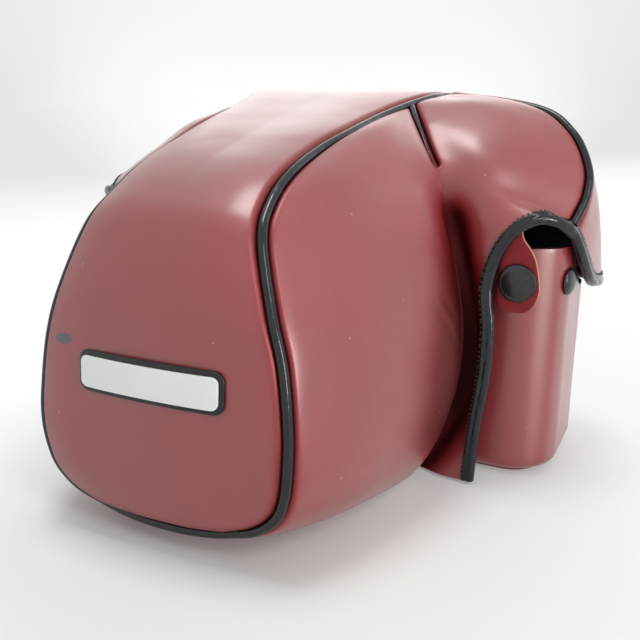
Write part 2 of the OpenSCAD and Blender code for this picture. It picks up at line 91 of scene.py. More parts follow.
class CaseSizes(bpy.types.PropertyGroup):
    """Sizes of the case as in the part's source; hem_r and stitch_pitch are for the looks alone."""

    case_w: length("Case width", "Outer width of the half case", WALL_HIGH.x - WALL_LOW.x)
    case_d: length("Case depth", "Outer depth of the half case", WALL_HIGH.y - WALL_LOW.y)
    corner_r: length("Corner radius", "Radius of the upright corners", 0.0135)
    ear_h: length("Ear height", "Height of the two front ears", WALL_HIGH.z)
    ear_d: length("Ear depth", "How far back the ears reach", 0.0115)
    ear_slope: length("Ear slope", "How far the ears slope down behind, to the rim", 0.018)
    rim_h: length("Rim height", "Height of the ends and the back", 0.0475)
    sill_h: length("Sill height", "Height of the front wall under the lens", 0.022)
    lens_cut_w: length("Lens cut", "Width of the cut for the lens", 0.092)
    wall_t: length("Wall", "Thickness of the leather wall", 0.002)
    lining_t: length("Lining", "Thickness of the lining", 0.001)
    lip_h: length("Lip", "How far the lining stands above the rim", 0.0035)
    base_t: length("Base leather", "Thickness of the leather under the base", 0.002)
    board_t: length("Board", "Thickness of the board in the base", 0.004)
    felt_t: length("Felt", "Thickness of the felt on the board", 0.0015)
    hem_r: length("Lower edge", "Radius of the lower edge of the half case", 0.0024)
    cover_h: length("Cover height", "Height of the crown of the cover", 0.1066)
    nose_reach: length("Nose reach", "Reach of the nose in front of the half case", 0.0772)
    nose_w: length("Nose width", "Width of the front panel at its widest", 0.0678)
    leather_t: length("Cover leather", "Thickness of the lined leather of the cover", 0.0016)
    skirt_gap: length("Skirt gap", "Stand off of the skirt from the half case", 0.0085)
    back_gap: length("Back gap", "Room behind the half case inside the cover", 0.0032)
    shoulder_sag: length("Shoulder sag", "How far the right shoulder has slumped", 0.013)
    arch_rise: length("Arch rise", "Height of the strap lug arch above the ears", 0.0094)
    rim_gap: length("Rim gap", "Gap between the rim and the edge of the cover", 0.004)
    piping_d: length("Piping", "Diameter of the piping", 0.0024)
    stitch_pitch: length("Stitch pitch", "Distance from stitch to stitch on the binding", 0.00118)
    cap_d: length("Cap", "Diameter of the press caps", 0.0102)
    knob_d: length("Knob", "Diameter of the camera screw's knob", 0.024)
    stud_inset: length("Stud inset", "Distance of the stud from the end", 0.0109)
    stud_drop: length("Stud drop", "Drop of the stud below the top of the ear", 0.0085)


class CaseColours(bpy.types.PropertyGroup):
    """Colours of the case and of the stage."""

    leather: colour("Leather", "Burgundy of the leather", (0.232, 0.010, 0.015))
    # Deep leather is a random darker tone, and also the dirt and painted shade beside piping and the painted
    # shade in the crease
    leather_deep: colour("Deep leather", "Darker burgundy in the folds", (0.115, 0.005, 0.008))
    leather_worn: colour("Worn leather", "Paler burgundy where it is rubbed", (0.285, 0.024, 0.029))
    # A painted highlight: the pale band down the front corners of the half case
    leather_painted_highlight: colour("Painted highlight leather", "Pale corner of the half case", (0.560, 0.290, 0.280))
    raw_edge: colour("Raw edge", "Cut edge of the tabs", (0.720, 0.420, 0.300))
    vinyl: colour("Vinyl", "Black of the piping and the binding", (0.004, 0.005, 0.006))
    lining: colour("Lining", "Black of the lining", (0.005, 0.0055, 0.006))
    lacquer: colour("Lacquer", "Black of the studs and caps", (0.008, 0.008, 0.009))
    steel: colour("Steel", "Plated steel of the screw and sockets", (0.560, 0.550, 0.530))
    plate: colour("Plate", "Pale face of the plate", (0.800, 0.810, 0.800))
    board: colour("Board", "Fibre board in the base", (0.200, 0.110, 0.060))
    floor: colour("Floor", "Pale floor", (0.905, 0.930, 0.905))


def sizes():
    return bpy.context.scene.ever_ready_sizes


def colours():
    return bpy.context.scene.ever_ready_colours


# Curves and faces of the cover


def spline(stations, u):
    """A smooth curve through the stations, u counted in stations."""
    last = len(stations) - 1
    i = min(max(math.floor(u), 0), last - 1)
    t = u - i
    b = stations[i]
    c = stations[i + 1]
    a = stations[i - 1] if i > 0 else 2 * b - c
    d = stations[i + 2] if i < last - 1 else 2 * c - b
    return (2 * b + (c - a) * t + (2 * a - 5 * b + 4 * c - d) * t**2 + (3 * b - a - 3 * c + d) * t**3) / 2


def swell(t, power):
    """0 at both ends and 1 between them, nearer the start for a low power."""
    return math.sin(math.pi * min(max(t, 0.0), 1.0) ** power)


def smooth(x):
    """A soft step from 0 to 1."""
    x = min(max(x, 0.0), 1.0)
    return x * x * (3 - 2 * x)


def hump(x, width):
    """1 at 0, falling off to both sides."""
    return math.exp(-((x / width) ** 2))


def many(rows):
    """Vectors from rows in millimetres."""
    return [Vector(row) * MM for row in rows]


class Cover:
    """Seams and faces of one half of the cover, drawn on the left, lower where it sags, in metres."""

    # Last station of the crease, and the station of the front seam where the crease starts
    top = 14
    # Station of the front seam where the seam over the shoulder meets it
    over = 15.2
    # Station of the free edge where the arch ends and the seam over the shoulder starts
    arch = 11

    def __init__(self, size, sag=0.0):
        self.sag = sag
        self.half_w = size.case_w / 2
        self.half_d = size.case_d / 2
        self.skirt_y = -self.half_d - size.skirt_gap
        self.back_y = self.half_d + size.back_gap + size.leather_t
        self.arch_h = size.ear_h + size.arch_rise
        self.edge_h = size.rim_h + size.rim_gap
        self.snap_x = self.half_w - size.stud_inset
        self.snap_z = size.ear_h - size.stud_drop
        self.half_n = size.nose_w / 2
        self.high = size.cover_h
        self.reach = size.nose_reach
        self.leather_t = size.leather_t
        self.edge = self.front_seam()
        self.crown = many([
            (-0.8, -1.7), (-1.4, -1.3), (-1.9, -1.3), (-2.3, -0.7), (-2.5, 0), (-3, 0.5), (-3.4, 1.4),
            (-3.4, 2.3), (-2.8, 2.5), (-1.9, 3), (-0.9, 2.6), (-0.3, 2.5), (-0.1, 2.4), (0, 2.4),
            (0, 2.5), (0, 2), (0.5, 1.4), (1, 0.6), (1, 0.3), (1, 0), (1, 0),
        ])
        self.crease = self.side_crease()
        self.nose_full = many([
            (0, 0), (1.5, 1), (2.5, 2), (3.5, 1.5), (4, 1), (4.5, 0.8), (5, 0.5), (5, 0), (5, 0), (5, 0),
            (5, -0.5), (4.8, -1.2), (4, -2.2), (3, -3.2), (1.5, -4),
        ])
        self.free = self.free_edge()
        self.inner = self.crease[::-1] + [spline(self.edge, 14.6), spline(self.edge, self.over)]
        slack = 1 - 0.065 * sag / MM
        self.shoulder_full = many([(0, -0.5, 0)] * 8 + [
            (0, -0.8, 0.3 * slack), (0.5, -1, 0.6 * slack), (1, -1.5, 1.2 * slack),
            (1.6, -2.2, 2 * slack), (2, -2.5, 2.8 * slack), (2, -2.5, 3.4 * slack),
            (1.5, -1.5, 3.2 * slack), (0.8, -0.5, 1.6 * slack), (0, 0, 0.2 * slack),
        ])
        self.rear_top = self.free[self.arch:]
        self.rear_low = self.lower_edge()
        self.rear_full = many([
            (0.7, -2.5, 0.4), (0.6, 0.5, 0), (1.2, 3.5, 1.5), (2, 8, 6), (1.5, 11, 11), (1, 11.5, 14),
        ])

    def at_nose(self, x, y, z):
        return Vector((x * self.half_n, -self.half_d - y * self.reach, z * self.high))

    def at_body(self, x, y, z):
        return Vector((x * self.half_w, self.skirt_y + y * MM, z * self.high))

    def above_arch(self, share):
        return self.arch_h + share * (self.high - self.arch_h)

    def front_seam(self):
        """From the toe of the nose over the top and down the back."""
        nose = [
            (0.52, 0.952, 0.075), (0.75, 0.958, 0.101), (0.905, 0.962, 0.143), (0.973, 0.965, 0.194),
            (1, 0.967, 0.262), (0.994, 0.957, 0.342), (0.941, 0.940, 0.465), (0.841, 0.920, 0.569),
            (0.696, 0.856, 0.704), (0.634, 0.763, 0.767), (0.619, 0.630, 0.820), (0.628, 0.437, 0.864),
            (0.678, 0.256, 0.897), (0.723, 0.043, 0.930), (0.811, -0.162, 0.960),
        ]
        low = 0.81 * self.high
        back = [
            (0.914, 0.17 * self.half_d, 0.981 * self.high), (0.973, 0.72 * self.half_d, 0.975 * self.high),
            (1.003, self.back_y - 3.3 * MM, 0.92 * self.high), (1.018, self.back_y - 0.2 * MM, low),
            (1.024, self.back_y + 0.4 * MM, (low + self.edge_h) / 2), (1.032, self.back_y, self.edge_h),
        ]
        return [self.at_nose(*p) for p in nose] + [Vector((x * self.half_n, y, z)) for x, y, z in back]

    def side_crease(self):
        """Where the nose meets the shoulder and the skirt, from the top seam down."""
        rows = [
            (0.43, 13, 0.917), (0.497, 6, 0.868), (0.554, 1.7, 0.821), (0.589, 0.5, 0.755),
            (0.613, 0, 0.694), (0.64, 0, 0.619), (0.67, 0, 0.525), (0.689, 0, 0.432),
            (0.691, 0, 0.342), (0.678, 0, 0.258), (0.649, 0, 0.183), (0.609, 0, 0.108),
            (0.559, 0, 0.047), (0.502, 0, 0.0085),
        ]
        return [self.edge[self.top]] + [self.at_body(*p) for p in rows]

    def free_edge(self):
        """Edge of the skirt and the arch, then the seam over the end up to the top."""
        skirt = [
            (0.739, -1, 0.0085), (0.742, -1, 0.047), (0.748, -1, 0.113),
            (0.758, -1, 0.188), (0.772, -1, 0.267), (0.78, -0.8, 0.347),
        ]
        x, y, z = self.snap_x, self.skirt_y, self.snap_z
        end = self.half_w
        arch = [
            (x - 5.8 * MM, y - 0.2 * MM, z - 11 * MM),
            (x - 7.0 * MM, y + 0.8 * MM, z - 1.5 * MM),
            (x - 4.9 * MM, y + 1.7 * MM, z + 8 * MM),
            (x - 0.1 * MM, y + 2.1 * MM, self.arch_h - 2.8 * MM),
            (end - 4.3 * MM, y + 6.5 * MM, self.arch_h),
            (end + 0.7 * MM, y + 14 * MM, self.arch_h - 2.8 * MM),
        ]
        sag = self.sag
        seam = [
            (end + 2.6 * MM - 0.06 * sag, y + 19 * MM, self.above_arch(0.12) - 0.2 * sag),
            (end + 1.9 * MM - 0.15 * sag, y + 23.5 * MM, self.above_arch(0.356) - 0.62 * sag),
            (end - 4 * MM - 0.3 * sag, 0.13 * MM - self.half_d * 0.13, self.above_arch(0.647) - sag),
            (end - 15.5 * MM - 0.42 * sag, self.half_d * 0.085, self.above_arch(0.846) - 0.8 * sag),
        ]
        rows = [self.at_body(*p) for p in skirt] + [Vector(p) for p in arch + seam]
        return rows + [spline(self.edge, self.over)]

    def lower_edge(self):
        """Lower edge of the rear panel, from the arch round to the back."""
        end, back, low = self.half_w, self.back_y, self.edge_h
        rows = [
            (end + 4.9 * MM, self.skirt_y + 31 * MM, low + 3 * MM),
            (end + 5.4 * MM, 0.55 * self.half_d, low + 0.6 * MM),
            (end + 3.1 * MM, self.half_d - MM, low),
            (end - 6.5 * MM, back - 0.5 * MM, low),
            ((end - 6.5 * MM + self.half_n) / 2, back, low),
        ]
        return [Vector(p) for p in rows] + [self.edge[20]]

    def front_face(self, s, t):
        seam = spline(self.edge, s)
        rise = spline(self.crown, s)
        w = 1 - min(abs(t), 1.0) ** 2.2
        return Vector((t * seam.x, seam.y + rise.x * w, seam.z + rise.y * w))

    def nose_face(self, s, t):
        full = spline(self.nose_full, s)
        base = spline(self.edge, self.top - s).lerp(spline(self.crease, s), t)
        return base + Vector((full.x, 0, full.y)) * swell(t, 0.7)

    def floor_face(self, s, t):
        heel = self.crease[self.top]
        base = self.front_face(0, s).lerp(Vector((s * heel.x, heel.y, heel.z)), t)
        return base + Vector((1.5 * s, 0, -3.4 - 0.6 * s * s)) * MM * swell(t, 0.7)

    def shoulder_face(self, s, t):
        base = spline(self.inner, s).lerp(spline(self.free, s), t)
        return base + spline(self.shoulder_full, s) * swell(t, 1)

    def rear_face(self, s, t):
        base = spline(self.rear_top, s).lerp(spline(self.rear_low, s), t)
        return base + spline(self.rear_full, s) * swell(t, 0.8)


def mirrored(point, side):
    return Vector((side * point.x, point.y, point.z))


def sampled(curve, first, last, count):
    return [spline(curve, first + (last - first) * i / count) for i in range(count + 1)]


# Making and finishing pieces


def deselect():
    if bpy.context.mode != "OBJECT":
        bpy.ops.object.mode_set(mode="OBJECT")
    bpy.ops.object.select_all(action="DESELECT")


def pick(piece):
    deselect()
    piece.select_set(True)
    bpy.context.view_layer.objects.active = piece


def apply_modifier(piece, modifier):
    pick(piece)
    bpy.ops.object.modifier_apply(modifier=modifier.name)


def laid_grid(name, along, across, place):
    """A grid primitive with its points laid by place(u, v), both shares from 0 to 1."""
    deselect()
    bpy.ops.mesh.primitive_grid_add(x_subdivisions=along, y_subdivisions=across, size=1)
    piece = bpy.context.object
    piece.name = name
    piece.data.name = name
    shares = [(point.co.x + 0.5, point.co.y + 0.5) for point in piece.data.vertices]
    for point, (u, v) in zip(piece.data.vertices, shares):
        point.co = place(u, v)
    piece.data.update()
    return piece, shares


def lift_points(piece, lifts):
    """Moves each point by its own lift."""
    for point, lift in zip(piece.data.vertices, lifts):
        point.co += lift
    piece.data.update()


def mark_points(piece, name, values):
    """Stores a value for each point, which a material reads by its name."""
    mark = piece.data.attributes.new(name, "FLOAT", "POINT")
    mark.data.foreach_set("value", values)


def merge(piece):
    """Merges the points where a sheet meets itself."""
    pick(piece)
    bpy.ops.object.mode_set(mode="EDIT")
    bpy.ops.mesh.select_all(action="SELECT")
    bpy.ops.mesh.remove_doubles(threshold=MERGE)
    bpy.ops.object.mode_set(mode="OBJECT")


def close_up(piece):
    """Merges what meets, fills the open ends and turns the faces outwards."""
    merge(piece)
    bpy.ops.object.mode_set(mode="EDIT")
    bpy.ops.mesh.select_all(action="SELECT")
    bpy.ops.mesh.fill_holes(sides=0)
    bpy.ops.mesh.select_all(action="SELECT")
    bpy.ops.mesh.normals_make_consistent(inside=False)
    bpy.ops.object.mode_set(mode="OBJECT")


def thicken(piece, thickness, offset=-1, rim=1):
    """Gives a sheet its thickness. The inner face, and the rim where that is 1, take the second material."""
    while len(piece.data.materials) < 2:
        piece.data.materials.append(None)
    wall = piece.modifiers.new("Thickness", "SOLIDIFY")
    wall.thickness = thickness
    wall.offset = offset
    wall.material_offset = 1
    wall.material_offset_rim = rim
    apply_modifier(piece, wall)


def round_edges(piece, width, segments=2, angle=40, material=-1):
    bevel = piece.modifiers.new("Rounding", "BEVEL")
    bevel.width = width
    bevel.segments = segments
    bevel.limit_method = "ANGLE"
    bevel.angle_limit = math.radians(angle)
    bevel.material = material
    apply_modifier(piece, bevel)


def shade(piece, angle=50):
    pick(piece)
    bpy.ops.object.shade_smooth_by_angle(angle=math.radians(angle))


def finish(piece, body, nodes, slot, *names):
    """Gives a piece its materials, its body and the nodes that it stands for; slot is not used."""
    while len(piece.data.materials) < len(names):
        piece.data.materials.append(None)
    while len(piece.data.materials) > len(names):
        piece.data.materials.pop()
    for i, name in enumerate(names):
        piece.data.materials[i] = finish_of(name)
    if body:
        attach(piece, body)
    if nodes:
        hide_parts(*nodes)


def finish_cover(piece, node, name="burgundy_leather"):
    """Finishes lined leather of the cover."""
    finish(piece, "cover", [node], "leather", name, "lining_cloth")


def finish_node(node, name):
    """Gives a CAD node that is shown as it is its material."""
    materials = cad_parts[node].data.materials
    materials.clear()
    materials.append(finish_of(name))


def turned(name, rows, sides=48):
    """A round piece on z: a disc extruded and scaled through rows of radius and height in mm."""
    stations = [(wide * MM, high * MM) for wide, high in rows]
    radius, height = stations[0]
    deselect()
    at = (0, 0, height)
    bpy.ops.mesh.primitive_circle_add(vertices=sides, radius=radius, fill_type="NGON", location=at)
    piece = bpy.context.object
    piece.name = name
    piece.data.name = name
    bpy.ops.object.transform_apply(location=True, rotation=True, scale=True)
    bpy.ops.object.mode_set(mode="EDIT")
    bpy.ops.mesh.select_all(action="SELECT")
    for wide, high in stations[1:]:
        bpy.ops.mesh.extrude_region_move(TRANSFORM_OT_translate={"value": (0, 0, high - height)})
        share = wide / radius
        bpy.ops.transform.resize(value=(share, share, 1), center_override=(0, 0, 0))
        radius = wide
        height = high
    bpy.ops.mesh.select_all(action="SELECT")
    bpy.ops.mesh.normals_make_consistent(inside=False)
    bpy.ops.object.mode_set(mode="OBJECT")
    return piece


def stand(piece, at, axis):
    """Turns a piece from z to an axis and puts it in its place, in its mesh."""
    turn = Vector(axis).to_track_quat("Z", "Y").to_matrix().to_4x4()
    piece.data.transform(Matrix.Translation(at) @ turn)
    piece.data.update()


def cut(piece, cutter):
    """Cuts one solid out of another and removes the cutter."""
    hole = piece.modifiers.new("Cut", "BOOLEAN")
    hole.operation = "DIFFERENCE"
    hole.solver = "EXACT"
    hole.object = cutter
    apply_modifier(piece, hole)
    bpy.data.objects.remove(cutter)


def swept(name, spine, profile):
    """A closed profile swept along frames of point, across and out."""
    count = len(profile)
    last = len(spine) - 1

    def place(u, v):
        point, across, out = spine[round(u * last)]
        b, n = profile[round(v * count) % count]
        return point + across * b + out * n

    piece, _ = laid_grid(name, last, count, place)
    close_up(piece)
    return piece


def tube_frames(path, middle):
    """Frames of a round cord: across lies beside the path, out points away from the middle."""
    frames = []
    for i, point in enumerate(path):
        ahead = path[min(i + 1, len(path) - 1)]
        behind = path[max(i - 1, 0)]
        along = (ahead - behind).normalized()
        across = along.cross(point - middle).normalized()
        frames.append((point, across, across.cross(along)))
    return frames


CORD_SIDES = 14
# Share of its length after which a cord dives into its seam
DIVE_START = 0.55


def ring(radius, sides):
    steps = [2 * math.pi * k / sides for k in range(sides)]
    return [(radius * math.cos(a), radius * math.sin(a)) for a in steps]


def cord(name, path, middle, radius, lift, taper=0.0, dive=0.0):
    """Piping along a path, lifted out of its seam, thinner and deeper at its end."""
    last = len(path) - 1
    frames = tube_frames(path, middle)

    def place(u, v):
        i = round(u * last)
        point, across, out = frames[i]
        share = 1 - taper * smooth(i / last)
        b, n = ring(radius * share, CORD_SIDES)[round(v * CORD_SIDES) % CORD_SIDES]
        sunk = dive * smooth((i / last - DIVE_START) / (1 - DIVE_START))
        return point + across * b + out * (n + lift - sunk)

    piece, _ = laid_grid(name, last, CORD_SIDES, place)
    close_up(piece)
    shade(piece, 60)
    return piece


# Materials and the effects that they share


class Net:
    """Places nodes in a tree and links them, by name."""

    def __init__(self, tree):
        self.tree = tree

    def link(self, output, socket):
        self.tree.links.new(output, socket)

    def feed(self, node, inputs):
        """Links or sets the inputs of a node."""
        for key, value in inputs.items():
            if isinstance(value, bpy.types.NodeSocket):
                self.link(value, node.inputs[key])
            else:
                node.inputs[key].default_value = value

    def add(self, kind, inputs=None, **settings):
        made = self.tree.nodes.new(kind)
        for key, value in settings.items():
            setattr(made, key, value)
        self.feed(made, inputs or {})
        return made

    def math(self, operation, first, second=0.0):
        return self.add("ShaderNodeMath", {0: first, 1: second}, operation=operation).outputs[0]

    def times(self, first, second):
        return self.math("MULTIPLY", first, second)

    def vector(self, operation, *values):
        made = self.add("ShaderNodeVectorMath", dict(enumerate(values)), operation=operation)
        return made.outputs["Value" if operation in ("LENGTH", "DOT_PRODUCT") else "Vector"]

    def mix(self, share, first, second):
        return self.add("ShaderNodeMix", {0: share, 2: first, 3: second}, data_type="FLOAT").outputs[0]

    def ramp(self, value, low, high, to_low=0.0, to_high=1.0):
        names = {"Value": value, "From Min": low, "From Max": high, "To Min": to_low, "To Max": to_high}
        return self.add("ShaderNodeMapRange", names, interpolation_type="SMOOTHSTEP").outputs["Result"]

    def blend(self, share, first, second):
        return self.add("ShaderNodeMix", {0: share, 6: first, 7: second}, data_type="RGBA").outputs[2]

    def noise(self, vector, scale, detail=2.0, rough=0.5):
        names = {"Vector": vector, "Scale": scale, "Detail": detail, "Roughness": rough}
        return self.add("ShaderNodeTexNoise", names).outputs["Fac"]

    def cells(self, vector, scale, feature="F1"):
        names = {"Vector": vector, "Scale": scale}
        return self.add("ShaderNodeTexVoronoi", names, feature=feature).outputs["Distance"]

    def place(self):
        return self.add("ShaderNodeTexCoord").outputs["Object"]

    def mark(self, name):
        """A value that mark_points has stored."""
        return self.add("ShaderNodeAttribute", attribute_name=name).outputs["Fac"]

    def bump(self, height, strength, distance):
        names = {"Height": height, "Strength": strength, "Distance": distance}
        return self.add("ShaderNodeBump", names).outputs["Normal"]

    def group(self, tree, **inputs):
        return self.add("ShaderNodeGroup", inputs, node_tree=tree).outputs


def new_group(name, inputs, outputs):
    """A node group from a place and numbers to numbers, with no net if it has been made before."""
    tree = bpy.data.node_groups.get(name)
    if tree:
        return tree, None, None, None
    tree = bpy.data.node_groups.new(name, "ShaderNodeTree")
    tree.interface.new_socket("Place", in_out="INPUT", socket_type="NodeSocketVector")
    for label in inputs:
        tree.interface.new_socket(label, in_out="INPUT", socket_type="NodeSocketFloat")
    for label in outputs:
        tree.interface.new_socket(label, in_out="OUTPUT", socket_type="NodeSocketFloat")
    net = Net(tree)
    return tree, net, net.add("NodeGroupInput").outputs, net.add("NodeGroupOutput").inputs


def grain_group():
    """Pebbles and pores of a finished skin, as a height."""
    tree, net, given, out = new_group("Skin grain", ["Pebble", "Pore"], ["Height"])
    if net:
        pebble = net.cells(given["Place"], given["Pebble"], feature="SMOOTH_F1")
        pore = net.noise(given["Place"], given["Pore"], 3.0, 0.6)
        soft = net.noise(given["Place"], 90.0, 2.0)
        fine = net.math("MULTIPLY_ADD", pore, 0.45)
        net.link(pebble, fine.node.inputs[2])
        net.link(net.math("ADD", fine, net.times(soft, 0.8)), out["Height"])
    return tree


def handling_group():
    """Large soft patches left by handling, and finer streaks, both from 0 to 1."""
    tree, net, given, out = new_group("Handling", ["Size"], ["Patches", "Streaks"])
    if net:
        broad = net.noise(given["Place"], given["Size"], 3.0, 0.55)
        net.link(net.ramp(broad, 0.32, 0.70), out["Patches"])
        tight = net.noise(given["Place"], net.times(given["Size"], 9.0), 4.0, 0.65)
        net.link(net.ramp(tight, 0.35, 0.75), out["Streaks"])
    return tree


def dust_group():
    """Tiny pale specks, as a mask."""
    tree, net, given, out = new_group("Dust", ["Spacing", "Amount"], ["Mask"])
    if net:
        near = net.cells(given["Place"], given["Spacing"])
        speck = net.ramp(near, 0.018, 0.05, 1.0, 0.0)
        net.link(net.times(speck, given["Amount"]), out["Mask"])
    return tree


def new_material(name):
    material = bpy.data.materials.new(name)
    material.use_nodes = True
    net = Net(material.node_tree)
    shader = material.node_tree.nodes["Principled BSDF"]
    return material, net, shader


def rgba(values):
    return (*values, 1.0)


def wrinkle_group():
    """Thin broken lines where leather has been bent, 1 on a line."""
    tree, net, given, out = new_group("Fine wrinkles", ["Spacing"], ["Lines"])
    if net:
        names = {"Vector": given["Place"], "Scale": 55.0, "Detail": 3.0}
        wander = net.add("ShaderNodeTexNoise", names).outputs["Color"]
        wander = net.vector("MULTIPLY", wander, (0.014, 0.014, 0.014))
        bent = net.vector("ADD", given["Place"], wander)
        edge = net.cells(bent, given["Spacing"], feature="DISTANCE_TO_EDGE")
        line = net.ramp(edge, 0.0, 0.035, 1.0, 0.0)
        where = net.ramp(net.noise(given["Place"], 24.0, 1.0), 0.56, 0.72)
        net.link(net.times(line, where), out["Lines"])
    return tree


# Shades mixed into the materials, beside the colours that a user would change
CREASE_PAINTED_SHADE = (0.020, 0.002, 0.003, 1.0)
LEATHER_DUST = (0.62, 0.42, 0.40, 1.0)
SCUFF_GREY = (0.040, 0.040, 0.042, 1.0)
EDGE_FIBRE = (0.36, 0.15, 0.10, 1.0)
VINYL_STREAK = (0.016, 0.017, 0.018, 1.0)
VINYL_DUST = (0.30, 0.30, 0.29, 1.0)
THREAD_DARK = (0.006, 0.006, 0.007, 1.0)
THREAD_PALE = (0.030, 0.030, 0.032, 1.0)
LINING_PILE = (0.030, 0.029, 0.030, 1.0)
LINING_BRUSHED = (0.022, 0.021, 0.023, 1.0)
LACQUER_RUBBED = (0.040, 0.042, 0.044, 1.0)
LACQUER_DUST = (0.26, 0.26, 0.25, 1.0)
STEEL_DULL = (0.34, 0.32, 0.29, 1.0)
PLATE_WORN = (0.72, 0.72, 0.69, 1.0)
PLATE_SPECK = (0.45, 0.44, 0.42, 1.0)
BOARD_FIBRE = (0.11, 0.06, 0.035, 1.0)
FLOOR_PATCH = (0.885, 0.912, 0.885, 1.0)
# Middle of the scuff on the front panel, and how its three directions are shrunk to make it a long mark
SCUFF_AT = (-0.0249, -0.0985, 0.0494)
SCUFF_SHAPE = (0.44, 0.2, 0.92)


def scuffed(net, place, base, rough):
    """Adds the ragged dark scuff to a colour and a roughness."""
    away = net.vector("SUBTRACT", place, SCUFF_AT)
    ragged = net.times(net.noise(place, 420.0, 2.0), 0.0011)
    far = net.vector("LENGTH", net.vector("MULTIPLY", away, SCUFF_SHAPE))
    mark = net.ramp(net.math("ADD", far, ragged), 0.00165, 0.0020, 1.0, 0.0)
    return net.blend(mark, base, SCUFF_GREY), net.math("ADD", rough, net.times(mark, 0.15))


def leather_colour(net, handled, lines, seam, dust):
    """Burgundy, paler where it is handled, with a painted highlight where marked, darker in lines, with dirt
    and painted shade at seams and painted shade in the crease, and with dust.
    """
    tone = colours()
    base = net.blend(net.times(handled["Patches"], 0.45), rgba(tone.leather), rgba(tone.leather_worn))
    base = net.blend(net.times(handled["Streaks"], 0.10), base, rgba(tone.leather_deep))
    base = net.blend(net.times(lines, 0.35), base, rgba(tone.leather_deep))
    # Painted highlight: a pale band down the half case's front corners, where the wall marks it
    base = net.blend(net.mark("lightened"), base, rgba(tone.leather_painted_highlight))
    # Dirt and painted shade beside piping, painted shade in the crease and on the tabs: towards deep leather
    base = net.blend(net.ramp(seam, 0.12, 0.6), base, rgba(tone.leather_deep))
    # Painted shade: near black deep in the crease and on the rows turned in behind it
    base = net.blend(net.ramp(seam, 0.80, 1.0), base, CREASE_PAINTED_SHADE)
    return net.blend(dust, base, LEATHER_DUST)


def leather_material(name, scuff=False, gloss=0.27, bent=0.0, shine=1.0):
    """Burgundy finished leather: roughness and share of its shine, fine wrinkles if it is bent, a scuff."""
    material, net, shader = new_material(name)
    place = net.place()
    grain = net.group(grain_group(), Place=place, Pebble=1150.0, Pore=3400.0)["Height"]
    handled = net.group(handling_group(), Place=place, Size=26.0)
    dust = net.group(dust_group(), Place=place, Spacing=130.0, Amount=0.35)["Mask"]
    lines = net.times(net.group(wrinkle_group(), Place=place, Spacing=75.0)["Lines"], bent)
    seam = net.mark("seam")
    base = leather_colour(net, handled, lines, seam, dust)
    rough = net.ramp(handled["Patches"], 0.0, 1.0, 0.38, 0.52)
    rough = net.math("MAXIMUM", rough, net.ramp(seam, 0.55, 1.0, 0.38, 0.92))
    if scuff:
        base, rough = scuffed(net, place, base, rough)
    height = net.math("SUBTRACT", grain, net.times(lines, 2.2))
    net.feed(shader, {
        "Base Color": base,
        "Roughness": rough,
        "Normal": net.bump(height, 0.32, 0.00007),
        "Coat Weight": net.ramp(seam, 0.03, 0.42, shine, 0.0),
        "Coat Roughness": gloss,
        # Towards the crease, and beside piping, Metallic takes the leather's grey shine away: painted shade
        "Metallic": net.ramp(seam, 0.03, 0.45, 0.0, 0.65),
        "Specular IOR Level": 0.75 * shine,
    })
    return material


def raw_edge_material():
    material, net, shader = new_material("raw_edge")
    fibre = net.noise(net.place(), 2600.0, 4.0, 0.7)
    net.feed(shader, {
        "Base Color": net.blend(fibre, rgba(colours().raw_edge), EDGE_FIBRE),
        "Normal": net.bump(fibre, 0.5, 0.00010),
        "Roughness": 0.8,
    })
    return material


def vinyl_material():
    """Glossy black vinyl of the piping and the binding."""
    material, net, shader = new_material("black_vinyl")
    place = net.place()
    grain = net.group(grain_group(), Place=place, Pebble=1500.0, Pore=4200.0)["Height"]
    streaks = net.group(handling_group(), Place=place, Size=60.0)["Streaks"]
    dust = net.group(dust_group(), Place=place, Spacing=160.0, Amount=0.35)["Mask"]
    base = net.blend(net.times(streaks, 0.4), rgba(colours().vinyl), VINYL_STREAK)
    height = net.math("ADD", net.times(grain, 0.12), net.noise(place, 260.0))
    net.feed(shader, {
        "Base Color": net.blend(dust, base, VINYL_DUST),
        "Roughness": net.ramp(streaks, 0.0, 1.0, 0.12, 0.24),
        "Normal": net.bump(height, 0.5, 0.00025),
        "Specular IOR Level": 0.45,
    })
    return material


def thread_material():
    material, net, shader = new_material("black_thread")
    twist = net.noise(net.place(), 5200.0, 2.0)
    net.feed(shader, {
        "Base Color": net.blend(twist, THREAD_DARK, THREAD_PALE),
        "Normal": net.bump(twist, 0.6, 0.00006),
        "Roughness": 0.55,
    })
    return material


def lining_material(name, nap):
    """Black flocked cloth, nap is the fineness of its pile."""
    material, net, shader = new_material(name)
    place = net.place()
    pile = net.noise(place, nap, 4.0, 0.7)
    brushed = net.group(handling_group(), Place=place, Size=45.0)["Patches"]
    base = net.blend(pile, rgba(colours().lining), LINING_PILE)
    net.feed(shader, {
        "Base Color": net.blend(net.times(brushed, 0.4), base, LINING_BRUSHED),
        "Normal": net.bump(pile, 0.7, 0.00025),
        "Roughness": 0.92,
        "Sheen Weight": 0.25,
    })
    return material


def lacquer_material():
    """Black lacquered metal of the caps and studs, faintly worn paler in streaks."""
    material, net, shader = new_material("black_lacquer")
    place = net.place()
    lightened = net.group(handling_group(), Place=place, Size=150.0)["Streaks"]
    dust = net.group(dust_group(), Place=place, Spacing=300.0, Amount=0.25)["Mask"]
    base = net.blend(net.times(lightened, 0.35), rgba(colours().lacquer), LACQUER_RUBBED)
    net.feed(shader, {
        "Base Color": net.blend(dust, base, LACQUER_DUST),
        "Roughness": net.ramp(lightened, 0.0, 1.0, 0.13, 0.26),
        "Coat Weight": 0.1,
    })
    return material


